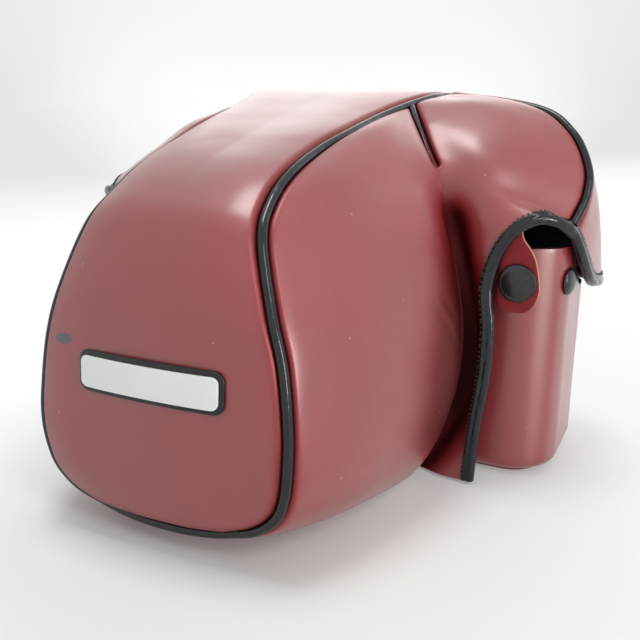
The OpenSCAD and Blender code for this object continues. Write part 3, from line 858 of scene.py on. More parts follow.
def steel_material():
    material, net, shader = new_material("plated_steel")
    place = net.place()
    worn = net.group(handling_group(), Place=place, Size=160.0)
    brushed = net.noise(place, 2200.0, 3.0, 0.6)
    net.feed(shader, {
        "Base Color": net.blend(net.times(worn["Patches"], 0.35), rgba(colours().steel), STEEL_DULL),
        "Roughness": net.ramp(worn["Streaks"], 0.0, 1.0, 0.24, 0.42),
        "Normal": net.bump(brushed, 0.12, 0.00004),
        "Metallic": 1.0,
    })
    return material


def plate_material():
    """Pale satin plastic of the plate's face."""
    material, net, shader = new_material("pale_plate")
    place = net.place()
    worn = net.group(handling_group(), Place=place, Size=90.0)
    speck = net.group(dust_group(), Place=place, Spacing=260.0, Amount=0.4)["Mask"]
    base = net.blend(net.times(worn["Patches"], 0.25), rgba(colours().plate), PLATE_WORN)
    net.feed(shader, {
        "Base Color": net.blend(speck, base, PLATE_SPECK),
        "Roughness": net.ramp(worn["Streaks"], 0.0, 1.0, 0.30, 0.42),
        "Normal": net.bump(net.noise(place, 1800.0, 3.0), 0.10, 0.00004),
    })
    return material


def board_material():
    material, net, shader = new_material("fibre_board")
    fibre = net.noise(net.place(), 900.0, 5.0, 0.7)
    net.feed(shader, {
        "Base Color": net.blend(fibre, rgba(colours().board), BOARD_FIBRE),
        "Normal": net.bump(fibre, 0.5, 0.0002),
        "Roughness": 0.85,
    })
    return material


MAKERS = {
    "burgundy_leather": lambda: leather_material("burgundy_leather", bent=0.45),
    # Less shine on the tabs: painted shade, as they sit in the shade of the arch
    "tab_leather": lambda: leather_material("tab_leather", gloss=0.4, shine=0.35),
    "column_leather": lambda: leather_material("column_leather"),
    "front_leather": lambda: leather_material("front_leather", scuff=True),
    "raw_edge": raw_edge_material,
    "black_vinyl": vinyl_material,
    "black_thread": thread_material,
    "lining_cloth": lambda: lining_material("lining_cloth", 2400.0),
    "felt": lambda: lining_material("felt", 1300.0),
    "black_lacquer": lacquer_material,
    "plated_steel": steel_material,
    "pale_plate": plate_material,
    "fibre_board": board_material,
}


def finish_of(name):
    """A material by name, made the first time it is asked for."""
    return bpy.data.materials.get(name) or MAKERS[name]()


# Leather of the cover


CREASE_POINTS = 400
# Stations of the crease from which on it stands open
CREASE_OPEN = (2.9, 14)
# Share of a nose side's rows that lie on its face; the rest turn in behind the crease
NOSE_EDGE = 0.875
# Stations of the seams between which each sheet of leather is laid
PANEL_RUN = (19.9, 0.06)
NOSE_RUN = (0.45, 14.0)
SHOULDER_RUN = (0.02, 15.96)
REAR_RUN = (0.0, 4.98)
# How far a sheet stays off a piped seam, closer along the front panel, and off a bound edge
SEAM_CLEAR = 0.15 * MM
PANEL_CLEAR = 0.1 * MM
EDGE_CLEAR = 0.4 * MM
# How far a nose side turns in behind the crease where it is open and where it is sewn
TUCK_OPEN = 6.3 * MM
TUCK_SEWN = 1.0 * MM
# How far a shoulder runs on behind the open crease
BEHIND_CREASE = 5.0 * MM
# The dark line beside piping, dirt in the joint and painted shade of its groove: its strength and half width,
# and the half width of the painted shade line in the crease
PIPING_DIRT_AND_SHADE = 0.55
PIPING_DIRT_AND_SHADE_WIDTH = 2.6 * MM
CREASE_LINE_WIDTH = 4.0 * MM


class Seams:
    """Where the cover's seams run, to measure how far a point lies from them."""

    def __init__(self, halves):
        self.front = front_path(halves[1])
        self.gussets = self.both(halves, gusset_path)
        self.rears = self.both(halves, rear_path)
        creases = self.both(halves, crease_path)
        self.piped = self.tree([self.front, *self.gussets.values(), *self.rears.values()])
        self.creased = self.tree(creases.values())

    @staticmethod
    def both(halves, path):
        return {side: [mirrored(p, side) for p in path(half)] for side, half in halves.items()}

    def crease(self, point):
        """Distance of the crease, and from 0 to 1 how far it has opened there and how dark it is inside."""
        _, index, away = self.creased.find(point)
        share = (index % CREASE_POINTS) / (CREASE_POINTS - 1)
        dark = smooth((share + 0.01) / 0.58) * (1 - 0.8 * smooth((share - 0.68) / 0.24))
        return away, smooth((share - 0.01) / 0.22), dark

    @staticmethod
    def tree(paths):
        points = [p for path in paths for p in path]
        made = KDTree(len(points))
        for i, point in enumerate(points):
            made.insert(point, i)
        made.balance()
        return made


def front_path(cover):
    side = sampled(cover.edge, 19.88, 0, 420)
    toe = [cover.front_face(0, 1 - 2 * i / 60) for i in range(1, 60)]
    return side + toe + [mirrored(p, -1) for p in side[::-1]]


def gusset_path(cover):
    return sampled(cover.crease, 0.12, 2.85, 70)


def rear_path(cover):
    return sampled(cover.rear_top, 0.0, 4.93, 160)


def crease_path(cover):
    return sampled(cover.crease, *CREASE_OPEN, CREASE_POINTS)


def station(run, share):
    """Station of a seam at a share of a run."""
    return run[0] + (run[1] - run[0]) * share


def cover_halves(size):
    """The two halves of the cover, left as 1 and right, which sags, as -1."""
    return {1: Cover(size), -1: Cover(size, size.shoulder_sag)}


def turned_edge(away, radius, proud, reach):
    """Height of leather that stands proud beside a piped seam and turns down into it in a quarter round."""
    inside = max(radius - away, 0.0)
    drop = radius - math.sqrt(radius * radius - inside * inside)
    return proud * hump(max(away - radius, 0.0), reach) - drop


def panel_roll(away, x):
    """The front panel turns down beside its piping, and bulges over it towards the right end of the case."""
    slump = smooth((4 * MM - x) / (34 * MM))
    foot = (0.95 - 0.75 * slump) * MM
    radius = (2.2 + 0.6 * slump) * MM
    return turned_edge(max(away - foot, 0.0), radius, (1.1 + 0.8 * slump) * MM, 13 * MM)


def seam_roll(away):
    """The other sheets turn down beside their piping."""
    return turned_edge(max(away - 1.05 * MM, 0.0), 1.5 * MM, 0.45 * MM, 4.5 * MM)


def crease_lip(d):
    """Rise of the side of the nose beside the crease: it swells, then turns down into it."""
    d = d / MM
    return 2.6 * MM * (1 - math.exp(-((d / 6) ** 1.6))) * hump(d, 24)


def crease_dip(d, dark):
    """Dip of the shoulder and the skirt beside the crease, deeper and wider where it is dark inside."""
    return -(2.8 + 2.8 * dark) * MM * hump(d, (4.5 + 3.0 * dark) * MM)


def fold(point, path, width):
    """1 on a line in the leather, falling off to its sides and its ends."""
    best = 1.0
    share = 0.0
    for i in range(len(path) - 1):
        a = path[i]
        step = path[i + 1] - a
        t = min(max((point - a).dot(step) / step.length_squared, 0.0), 1.0)
        away = (a + step * t - point).length
        if away < best:
            best = away
            share = (i + t) / (len(path) - 1)
    return hump(best, width) * math.sin(math.pi * min(max(0.06 + 0.88 * share, 0), 1))


def uneven(point):
    """The slight unevenness of hand lasted leather."""
    return noise.noise(point * 55) * 0.16 * MM + noise.noise(point * 140) * 0.05 * MM


# Wrinkles in the side of the nose and folds of the shoulder: path, width, rise
NOSE_FOLDS = [
    (many([(26.0, -76.9, 82.3), (29.8, -77.8, 78.1), (32.8, -77.8, 73.9)]), 0.8 * MM, -0.16 * MM),
    (many([(25.3, -79.3, 81.4), (29.4, -80.0, 77.2), (33.0, -79.2, 72.2)]), 0.9 * MM, -0.18 * MM),
    (many([(27.4, -72.1, 84.0), (31.8, -73.3, 78.6)]), 0.8 * MM, -0.10 * MM),
    (many([(47.2, -51.7, 56.6), (50.0, -44.9, 48.1), (51.5, -38.6, 39.9)]), 1.2 * MM, -0.22 * MM),
    (many([(48.4, -45.4, 56.2), (50.4, -40.6, 49.4)]), 1.0 * MM, -0.20 * MM),
    (many([(40.7, -79.2, 53.5), (42.1, -80.6, 44.6), (43.2, -80.5, 36.9)]), 1.6 * MM, -0.12 * MM),
]
SHOULDER_FOLDS = [
    (many([
        (35.4, -16.4, 99.4), (45.9, -22.3, 93.9), (53.3, -24.1, 89.5),
        (58.6, -24.2, 85.8), (63.2, -23.6, 81.6),
    ]), 5.4 * MM, 0.5 * MM),
    (many([
        (35.0, -20.5, 97.5), (40.0, -25.0, 92.5), (44.0, -28.5, 88.0),
        (49.5, -30.8, 80.0), (53.0, -31.5, 73.0),
    ]), 5.8 * MM, -1.5 * MM),
]


def folds(point, rows):
    """Rise of all wrinkles or folds at a point of either half."""
    half = mirrored(point, 1 if point.x > 0 else -1)
    return sum(rise * fold(half, path, width) for path, width, rise in rows)


def crowd(v):
    """Draws the rows of a sheet together near its two edges."""
    return v - 0.115 * math.sin(2 * math.pi * v)


def leather_sheet(
    name, along, across, place, rise, thickness, seams, crease_shade=0.0, spread=1.0, tuck=None, beyond=None
):
    """Leather laid on a face, raised or sunk at its seams and folds, then given its thickness inwards.

    The crease_shade and spread are the strength and width of the painted shade beside the crease, tuck turns
    the last rows in behind it, and beyond tells which points lie past it.
    """
    piece, shares = laid_grid(name, along, across, place)
    marks = []
    lifts = []
    for point, share in zip(piece.data.vertices, shares):
        away = seams.piped.find(point.co)[2]
        deep, opened, dark = seams.crease(point.co)
        if beyond and beyond(share):
            deep = 0.0
        # Painted shade in the crease: a dark line along it, and a wider dark beside it where it is dark
        # inside
        line = (0.55 + 0.35 * dark) * opened * hump(deep, CREASE_LINE_WIDTH) if crease_shade else 0.0
        crease = crease_shade * dark * hump(deep, spread * (0.3 + 0.7 * dark))
        marks.append(max(PIPING_DIRT_AND_SHADE * hump(away, PIPING_DIRT_AND_SHADE_WIDTH), crease, line))
        lifts.append(point.normal * (rise(point.co, away, share) + uneven(point.co)))
    turns = [tuck(point.co, point.normal) for point in piece.data.vertices] if tuck else []
    lift_points(piece, lifts)
    if tuck:
        tuck_in(piece, shares, turns, marks)
    mark_points(piece, "seam", marks)
    piece.data.update()
    thicken(piece, thickness)
    shade(piece, 60)
    return piece


def tuck_in(piece, shares, turns, marks):
    """Turns the rows past the edge of a nose side in behind the crease, and marks them for near black painted
    shade.
    """
    points = piece.data.vertices
    rim = {u: i for i, (u, v) in enumerate(shares) if abs(v - NOSE_EDGE) < 0.001}
    for i, (u, v) in enumerate(shares):
        if v > NOSE_EDGE + 0.001:
            points[i].co = points[rim[u]].co + turns[rim[u]] * (v - NOSE_EDGE) / (1 - NOSE_EDGE)
            marks[i] = 1.0


# Stage


# Colour of the room, its light on matt surfaces, and as mirrored in shiny ones
ROOM_WHITE = (0.985, 1.0, 0.99, 1.0)
ROOM_LIGHT = 0.47
ROOM_SHINE = 1.05
# Name, place, aim, width, height and watts of the lamps
LAMPS = [
    ("top_window", (-0.05, -0.05, 0.85), (0.0, -0.05, 0.05), 0.28, 0.28, 2.3),
    ("right_window", (0.74, -0.34, 0.16), (0.06, -0.04, 0.05), 0.14, 0.31, 2.1),
    ("side_window", (0.60, -0.45, 0.62), (0.03, -0.05, 0.05), 0.3, 0.3, 1.35),
    ("back_window", (0.0, 0.95, 0.42), (0.0, 0.0, 0.08), 1.6, 0.7, 3.0),
]


class CASE_OT_stage(bpy.types.Operator):
    """Makes the floor, the light and the camera."""

    bl_idname = "case.stage"
    bl_label = "Stage"

    def execute(self, context):
        self.floor()
        self.world(context.scene)
        self.lamps()
        self.camera(context.scene)
        context.scene.view_settings.view_transform = "Standard"
        return {"FINISHED"}

    def floor(self):
        deselect()
        bpy.ops.mesh.primitive_grid_add(x_subdivisions=8, y_subdivisions=8, size=8)
        floor = bpy.context.object
        floor.name = "floor"
        material, net, shader = new_material("pale_floor")
        place = net.place()
        base = net.blend(net.noise(place, 3.0), rgba(colours().floor), FLOOR_PATCH)
        net.feed(shader, {"Base Color": base, "Roughness": 0.6, "Specular IOR Level": 0.2})
        glow, share = self.floor_glow(net, place)
        mix = net.add("ShaderNodeMixShader", {0: share, 1: shader.outputs[0], 2: glow})
        net.link(mix.outputs[0], net.tree.nodes["Material Output"].inputs["Surface"])
        floor.data.materials.append(material)

    def floor_glow(self, net, place):
        """The white that the floor fades into behind, far away and on the left, and its share."""
        across, depth, _ = net.add("ShaderNodeSeparateXYZ", {0: place}).outputs
        far = net.vector("LENGTH", place)
        share = net.math("MAXIMUM", net.ramp(depth, -0.14, 0.25), net.ramp(far, 0.30, 0.9))
        share = net.math("MAXIMUM", share, net.ramp(net.times(across, -1.0), 0.02, 0.12))
        seen = net.add("ShaderNodeLightPath").outputs
        straight = net.math("MAXIMUM", seen["Is Camera Ray"], seen["Is Glossy Ray"])
        leftwards = net.math("SUBTRACT", far, across)
        fall = self.side_fall(net, net.vector("NORMALIZE", place))
        fall = net.times(fall, net.ramp(leftwards, 0.72, 1.65))
        strength = net.math("SUBTRACT", 1.0, net.times(fall, seen["Is Camera Ray"]))
        glow = net.add("ShaderNodeEmission", {"Color": (1, 1, 1, 1), "Strength": strength}).outputs[0]
        return glow, net.times(share, straight)

    def side_fall(self, net, way):
        """How much the pale room darkens to either side of the way the camera looks."""
        azimuth = math.radians(CAMERA_AZIMUTH)
        ahead = (-math.sin(azimuth), math.cos(azimuth), 0.0)
        return net.ramp(net.vector("DOT_PRODUCT", way, ahead), 0.93, 0.992, 0.20, 0.0)

    def world(self, scene):
        world = bpy.data.worlds.new("pale_room")
        world.use_nodes = True
        scene.world = world
        net = Net(world.node_tree)
        way = net.add("ShaderNodeTexCoord").outputs["Generated"]
        up = net.add("ShaderNodeSeparateXYZ", {0: way}).outputs["Z"]
        seen = net.add("ShaderNodeLightPath").outputs
        side = net.times(self.side_fall(net, way), net.ramp(up, 0.0, 0.10, 1.0, 0.5))
        higher = net.times(net.ramp(up, 0.0, 0.10), 0.06)
        view = net.math("SUBTRACT", 1.0, net.math("ADD", side, higher))
        level = net.mix(seen["Is Glossy Ray"], ROOM_LIGHT, ROOM_SHINE)
        level = net.mix(seen["Is Camera Ray"], level, view)
        net.feed(world.node_tree.nodes["Background"], {"Color": ROOM_WHITE, "Strength": level})

    def lamps(self):
        for name, at, aim, wide, high, watts in LAMPS:
            bpy.ops.object.light_add(type="AREA", location=at)
            lamp = bpy.context.object
            lamp.name = name
            lamp.data.shape = "RECTANGLE"
            lamp.data.size = wide
            lamp.data.size_y = high
            lamp.data.energy = watts
            lamp.visible_camera = False
            lamp.rotation_euler = (Vector(aim) - Vector(at)).to_track_quat("-Z", "Y").to_euler()

    def camera(self, scene):
        azimuth = math.radians(CAMERA_AZIMUTH)
        rise = math.radians(CAMERA_ELEVATION)
        roll = math.radians(CAMERA_ROLL)
        flat = math.cos(rise)
        back = Vector((math.sin(azimuth) * flat, -math.cos(azimuth) * flat, math.sin(rise)))
        right = (-back).cross(Vector((0, 0, 1))).normalized()
        up = right.cross(-back)
        turned_right = right * math.cos(roll) + up * math.sin(roll)
        turned_up = up * math.cos(roll) - right * math.sin(roll)
        bpy.ops.object.camera_add()
        camera = bpy.context.object
        turn = Matrix((turned_right, turned_up, back)).transposed().to_4x4()
        camera.matrix_world = Matrix.Translation(CAMERA_AT) @ turn
        camera.data.lens = CAMERA_LENS
        camera.data.sensor_width = 36
        camera.data.clip_start = 0.01
        scene.camera = camera


# Half case


# Where the painted highlight runs down the front corners, in degrees from the front towards the end, and half
# how wide
HIGHLIGHT_TURN = 38
HIGHLIGHT_WIDTH = 1.8 * MM
# How much higher than in the CAD the ends and the back are drawn, so that no gap shows under the cover
RIM_EXTRA = 4.0 * MM
# The upright ripple beside the front corners: its place behind the front, half width and rise
RIPPLE_AT = 5.5 * MM
RIPPLE_WIDTH = 2.6 * MM
RIPPLE_RISE = 0.50 * MM
# How far the ends bow out
BOW = 0.2 * MM
# How far the sole lies inside the wall, and how far it reaches up into it
SOLE_INSET = 4.5 * MM
SOLE_EXTRA = 0.3 * MM
# How far the corner studs turn from the front towards the end, and how far they stand off
CORNER_STUD_TURN = 78
CORNER_STUD_LIFT = 0.3 * MM


class HalfCase:
    """Plan of the half case, followed round from the middle of the back by way of the left end."""

    def __init__(self, size):
        self.size = size
        self.x = size.case_w / 2 - size.corner_r
        self.y = size.case_d / 2 - size.corner_r
        self.arc = size.corner_r * math.pi / 2
        self.loop = 4 * (self.x + self.y + self.arc)

    def plan(self, share):
        """Point of the outer face and its outward direction."""
        r = self.size.corner_r
        walk = (share % 1.0) * self.loop
        half = self.loop / 2
        side = 1
        if walk > half:
            walk = self.loop - walk
            side = -1
        if walk < self.x:
            spot, turn = Vector((walk, self.y, 0)), 0.0
        elif walk < self.x + self.arc:
            spot, turn = Vector((self.x, self.y, 0)), (walk - self.x) / r
        elif walk < self.x + self.arc + 2 * self.y:
            spot, turn = Vector((self.x, self.y - (walk - self.x - self.arc), 0)), math.pi / 2
        elif walk < self.x + 2 * self.arc + 2 * self.y:
            spot = Vector((self.x, -self.y, 0))
            turn = math.pi / 2 + (walk - self.x - self.arc - 2 * self.y) / r
        else:
            spot, turn = Vector((half - walk, -self.y, 0)), math.pi
        out = Vector((math.sin(turn), math.cos(turn), 0))
        return mirrored(spot + out * r, side), mirrored(out, side)

    def top(self, spot, ear, rim, sill):
        """Height of the wall over a point of the plan: sill, ear, slope and rim, with soft corners."""
        size = self.size
        fall = min(max((spot.y + size.case_d / 2 - size.ear_d) / size.ear_slope, 0.0), 1.0)
        height = ear + (rim - ear) * (0.6 * fall + 0.4 * smooth(fall))
        if spot.y > 0:
            return height
        beside = smooth((abs(spot.x) - size.lens_cut_w / 2 + 1.5 * MM) / (3 * MM))
        return sill + beside * (height - sill)


class CASE_OT_half_case(bpy.types.Operator):
    """Makes the wall, the lining and the base of the half case."""

    bl_idname = "case.half_case"
    bl_label = "Half case"

    def execute(self, context):
        size = sizes()
        half = HalfCase(size)
        self.wall(size, half)
        self.lining(size, half)
        self.base(size)
        finish_node("base_board", "fibre_board")
        return {"FINISHED"}

    def wall(self, size, half):
        hem = size.hem_r

        def place(u, v):
            spot, out = half.plan(1 - u)
            top = half.top(spot, size.ear_h, size.rim_h + RIM_EXTRA, size.sill_h)
            z = size.base_t + v**1.35 * (top - size.base_t)
            under = max(0.0, hem + size.base_t - z)
            tuck = hem - math.sqrt(max(hem * hem - under * under, 0.0))
            behind = spot.y + size.case_d / 2
            ripple = RIPPLE_RISE * hump(behind - RIPPLE_AT, RIPPLE_WIDTH) * smooth(z / (8 * MM))
            bow = BOW * max(0.0, 1 - (spot.y / (size.case_d / 2 - 3 * MM)) ** 2) * abs(out.x)
            return spot + out * (ripple + bow - tuck) + Vector((0, 0, z))

        piece, _ = laid_grid("wall", 400, 56, place)
        merge(piece)
        lift_points(piece, [p.normal * uneven(p.co + Vector((0.3, 0, 0))) for p in piece.data.vertices])
        # Painted highlight: a pale band down the front corners
        mark_points(piece, "lightened", [self.painted_highlight(size, p.co) for p in piece.data.vertices])
        # A faint painted shade over the whole wall: a little Metallic and less coat
        mark_points(piece, "seam", [0.08] * len(piece.data.vertices))
        thicken(piece, size.wall_t, rim=0)
        round_edges(piece, 0.5 * MM, 3, 55)
        shade(piece, 50)
        finish(piece, "half_case", ["half_wall"], "leather", "column_leather", "lining_cloth")

    def painted_highlight(self, size, point):
        """How strong the painted highlight is: a pale band along the front corners, most at the ears."""
        turn = math.radians(HIGHLIGHT_TURN)
        corner = Vector((size.case_w / 2 - size.corner_r, -size.case_d / 2 + size.corner_r))
        from_corner = Vector((abs(point.x), point.y)) - corner
        away = from_corner.x * math.cos(turn) + from_corner.y * math.sin(turn)
        if from_corner.x * math.sin(turn) < from_corner.y * math.cos(turn):
            return 0.0
        high = point.z / size.ear_h
        return (0.10 + 0.40 * high) * hump(away, HIGHLIGHT_WIDTH) * smooth(high * 9)

    def lining(self, size, half):
        low = size.base_t + size.board_t

        def place(u, v):
            spot, out = half.plan(1 - u)
            top = half.top(spot, size.ear_h - 1.5 * MM, size.rim_h + size.lip_h, size.sill_h - MM)
            return spot - out * size.wall_t + Vector((0, 0, low + v * (top - low)))

        piece, _ = laid_grid("inner_lining", 320, 30, place)
        merge(piece)
        thicken(piece, size.lining_t)
        round_edges(piece, 0.3 * MM, 2, 55)
        shade(piece, 50)
        finish(piece, "half_case", ["half_lining"], "lining", "lining_cloth", "lining_cloth")

    def base(self, size):
        leather = self.plate("base_leather_sheet", size, SOLE_INSET, 0.0, size.base_t + SOLE_EXTRA)
        self.hole(leather, size.knob_d / 2 + 0.6 * MM)
        round_edges(leather, 0.35 * MM, 2)
        shade(leather, 40)
        finish(leather, "half_case", ["base_leather"], "leather", "burgundy_leather")
        floor = size.base_t + size.board_t
        inset = size.wall_t + size.lining_t + 0.1 * MM
        felt = self.plate("base_felt_pad", size, inset, floor, floor + size.felt_t)
        self.hole(felt, 6.1 * MM)
        round_edges(felt, 0.4 * MM, 3)
        shade(felt, 40)
        finish(felt, "half_case", ["base_felt"], "lining", "felt")

    def plate(self, name, size, inset, low, high):
        """A plane scaled to the plan, its corners bevelled round, then extruded up."""
        deselect()
        bpy.ops.mesh.primitive_plane_add(size=1, location=(0, 0, low))
        piece = bpy.context.object
        piece.name = name
        piece.scale = (size.case_w - 2 * inset, size.case_d - 2 * inset, 1)
        bpy.ops.object.transform_apply(location=True, rotation=True, scale=True)
        bpy.ops.object.mode_set(mode="EDIT")
        bpy.ops.mesh.select_all(action="SELECT")
        bpy.ops.mesh.bevel(offset=size.corner_r - inset, segments=10, affect="VERTICES")
        bpy.ops.mesh.select_all(action="SELECT")
        bpy.ops.mesh.extrude_region_move(TRANSFORM_OT_translate={"value": (0, 0, high - low)})
        bpy.ops.mesh.select_all(action="SELECT")
        bpy.ops.mesh.normals_make_consistent(inside=False)
        bpy.ops.object.mode_set(mode="OBJECT")
        return piece

    def hole(self, piece, radius):
        deselect()
        bpy.ops.mesh.primitive_cylinder_add(vertices=64, radius=radius, depth=0.05)
        cut(piece, bpy.context.object)


# How far the hinge strip reaches under the base and under the cover, and half how wide its bead is
HINGE_UNDER_BASE = 2.5 * MM
HINGE_UNDER_COVER = 4.2 * MM
HINGE_BEAD_WIDTH = 0.9 * MM


class CASE_OT_hinge(bpy.types.Operator):
    """Makes the leather strip that joins the base to the cover."""

    bl_idname = "case.hinge"
    bl_label = "Hinge strip"

    def execute(self, context):
        low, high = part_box("hinge_strip")
        half = (high.x - low.x) / 2
        axis_y = low.y + 1.1 * MM
        axis_z = (low.z + high.z) / 2
        back = high.y + HINGE_UNDER_BASE
        front = axis_y - HINGE_UNDER_COVER

        def place(u, v):
            y = back + (front - back) * v
            bead = hump(y - axis_y, HINGE_BEAD_WIDTH)
            return Vector(((2 * u - 1) * half, y, axis_z + 0.5 * MM * bead + 0.35 * MM))

        piece, _ = laid_grid("hinge_leather", 70, 44, place)
        thicken(piece, 1.0 * MM)
        round_edges(piece, 0.25 * MM, 2)
        shade(piece, 50)
        finish(piece, None, ["hinge_strip"], "leather", "burgundy_leather", "burgundy_leather")
        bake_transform(piece)
        return {"FINISHED"}


def stud_place(size, side, y):
    """Middle of a press fastener at a depth."""
    return Vector((side * (size.case_w / 2 - size.stud_inset), y, size.ear_h - size.stud_drop))


class CASE_OT_studs(bpy.types.Operator):
    """Makes the press studs on the ears and the domed studs on the corners."""

    bl_idname = "case.studs"
    bl_label = "Studs"

    def execute(self, context):
        size = sizes()
        for side, label in SIDES:
            self.snap_stud(size, side, label)
            self.corner_stud(size, side, label)
        return {"FINISHED"}

    def snap_stud(self, size, side, label):
        piece = turned("press_stud_" + label, [
            (3.6, -3.5), (3.6, -3.0), (1.7, -2.9), (1.7, 0.0), (3.3, 0.0), (3.6, 0.2), (3.4, 0.45),
            (1.75, 0.5), (1.45, 0.75), (1.45, 1.05), (1.7, 1.35), (1.6, 1.55), (1.1, 1.68), (0.03, 1.7),
        ])
        stand(piece, stud_place(size, side, -size.case_d / 2), (0, -1, 0))
        shade(piece, 35)
        finish(piece, "half_case", ["snap_stud_" + label], "stud", "plated_steel")

    def corner_stud(self, size, side, label):
        piece = turned("corner_stud_dome_" + label, [
            (2.7, -3.4), (2.7, -3.0), (1.7, -2.9), (1.7, 0.0), (3.5, 0.02), (3.8, 0.2), (3.78, 0.5),
            (3.5, 0.85), (2.8, 1.2), (1.9, 1.40), (0.9, 1.49), (0.03, 1.5),
        ])
        turn = math.radians(CORNER_STUD_TURN)
        out = Vector((side * math.sin(turn), -math.cos(turn), 0))
        r = size.corner_r
        high = size.ear_h - size.stud_drop - 1.2 * MM
        middle = Vector((side * (size.case_w / 2 - r), -size.case_d / 2 + r, high))
        stand(piece, middle + out * (r + CORNER_STUD_LIFT), out)
        shade(piece, 35)
        finish(piece, "half_case", ["corner_stud_" + label], "stud", "black_lacquer")


class CASE_OT_camera_screw(bpy.types.Operator):
    """Makes the camera screw: knurled knob with a coin slot, neck and thread."""

    bl_idname = "case.camera_screw"
    bl_label = "Camera screw"
    sides = 96

    def execute(self, context):
        size = sizes()
        r = size.knob_d / 2 / MM
        knob = turned("screw_knob_head", [
            (r - 1.0, 0.5), (r - 0.35, 0.75), (r, 1.1), (r, 3.2), (r - 0.5, 3.8),
            (2.6, 3.9), (2.55, 7.4), (0.05, 7.5),
        ], self.sides)
        self.knurl(knob, size.knob_d / 2)
        deselect()
        bpy.ops.mesh.primitive_cube_add(size=1, location=(0, 0, 0.6 * MM))
        slot = bpy.context.object
        slot.scale = (size.knob_d * 1.2, 2 * MM, 2.2 * MM)
        bpy.ops.object.transform_apply(location=True, rotation=True, scale=True)
        cut(knob, slot)
        shade(knob, 35)
        thread = self.thread()
        pick(knob)
        thread.select_set(True)
        bpy.ops.object.join()
        finish(knob, "camera_screw", ["screw_knob"], "metal", "plated_steel")
        finish_node("screw_ring", "plated_steel")
        return {"FINISHED"}

    def knurl(self, knob, radius):
        """Pushes in every other face of the rim."""
        pick(knob)
        bpy.ops.object.mode_set(mode="EDIT")
        bpy.ops.mesh.select_all(action="DESELECT")
        bpy.ops.object.mode_set(mode="OBJECT")
        for face in knob.data.polygons:
            upright = abs(face.normal.z) < 0.05 and face.center.to_2d().length > 0.9 * radius
            turn = math.atan2(face.center.y, face.center.x) / (2 * math.pi) * self.sides
            face.select = upright and math.floor(turn) % 2 == 0
        bpy.context.tool_settings.mesh_select_mode = (False, False, True)
        bpy.ops.object.mode_set(mode="EDIT")
        bpy.ops.mesh.inset(thickness=0.12 * MM, depth=-0.3 * MM, use_individual=True)
        bpy.ops.object.mode_set(mode="OBJECT")

    def thread(self):
        """A ridge wound round the upper end of the screw."""
        pitch = 1.27 * MM
        low, high = 7.8 * MM, 12.5 * MM

        def place(u, v):
            turn = 2 * math.pi * u
            z = low + (high - low) * v
            phase = (z / pitch - u) % 1.0
            ends = smooth(v / 0.1) * smooth((1 - v) / 0.12)
            r = 2.55 * MM + 0.6 * MM * ends * (1 - abs(2 * phase - 1))
            return Vector((r * math.cos(turn), r * math.sin(turn), z))

        piece, _ = laid_grid("screw_thread", 48, 64, place)
        close_up(piece)
        shade(piece, 40)
        return piece


# Cover


class CASE_OT_front_panel(bpy.types.Operator):
    """Makes the strip from the toe of the nose over the top and down the back."""

    bl_idname = "case.front_panel"
    bl_label = "Front panel"

    def execute(self, context):
        cover = Cover(sizes())
        seams = Seams(cover_halves(sizes()))

        def place(u, v):
            s = station(PANEL_RUN, u)
            edge = 1 - PANEL_CLEAR / spline(cover.edge, s).x
            return cover.front_face(s, edge * (2 * crowd(v) - 1))

        def rise(point, away, share):
            return panel_roll(away, point.x)

        piece = leather_sheet("front_leather_panel", 230, 84, place, rise, cover.leather_t, seams)
        finish_cover(piece, "front_panel", "front_leather")
        return {"FINISHED"}


class CASE_OT_nose(bpy.types.Operator):
    """Makes the two sides and the floor of the nose."""

    bl_idname = "case.nose"
    bl_label = "Nose"

    def execute(self, context):
        halves = cover_halves(sizes())
        seams = Seams(halves)
        for side, label in SIDES:
            self.nose_side(halves[side], seams, side, label)
        self.nose_floor(halves[1], seams)
        return {"FINISHED"}

    def nose_side(self, cover, seams, side, label):
        inwards = mirrored(Vector((-0.8, 0.6, 0)), side)

        def tuck(point, normal):
            _, opened, _ = seams.crease(point)
            return inwards * TUCK_OPEN * opened - normal * TUCK_SEWN * (1 - opened)

        def place(u, v):
            s = station(NOSE_RUN, u if side > 0 else 1 - u)
            wide = (spline(cover.edge, cover.top - s) - spline(cover.crease, s)).length
            open_share = smooth((s - 2.6) / 2.4)
            low = PANEL_CLEAR / wide
            high = 1 - SEAM_CLEAR * (1 - open_share) / wide
            t = low + (high - low) * crowd(min(v / NOSE_EDGE, 1.0)) + max(v - NOSE_EDGE, 0) * 0.01
            return mirrored(cover.nose_face(s, t), side)

        def rise(point, away, share):
            deep, opened, _ = seams.crease(point)
            return seam_roll(away) + crease_lip(deep) * opened + folds(point, NOSE_FOLDS)

        name = "nose_leather_" + label
        piece = leather_sheet(
            name, 160, 96, place, rise, cover.leather_t, seams, crease_shade=0.75, spread=25 * MM, tuck=tuck
        )
        finish_cover(piece, "nose_side_" + label)

    def nose_floor(self, cover, seams):
        def place(u, v):
            return cover.floor_face(0.998 * (1 - 2 * u), 0.012 + 0.985 * v)

        def rise(point, away, share):
            return seam_roll(away)

        piece = leather_sheet("nose_floor_leather", 60, 60, place, rise, cover.leather_t, seams)
        finish_cover(piece, "nose_floor")


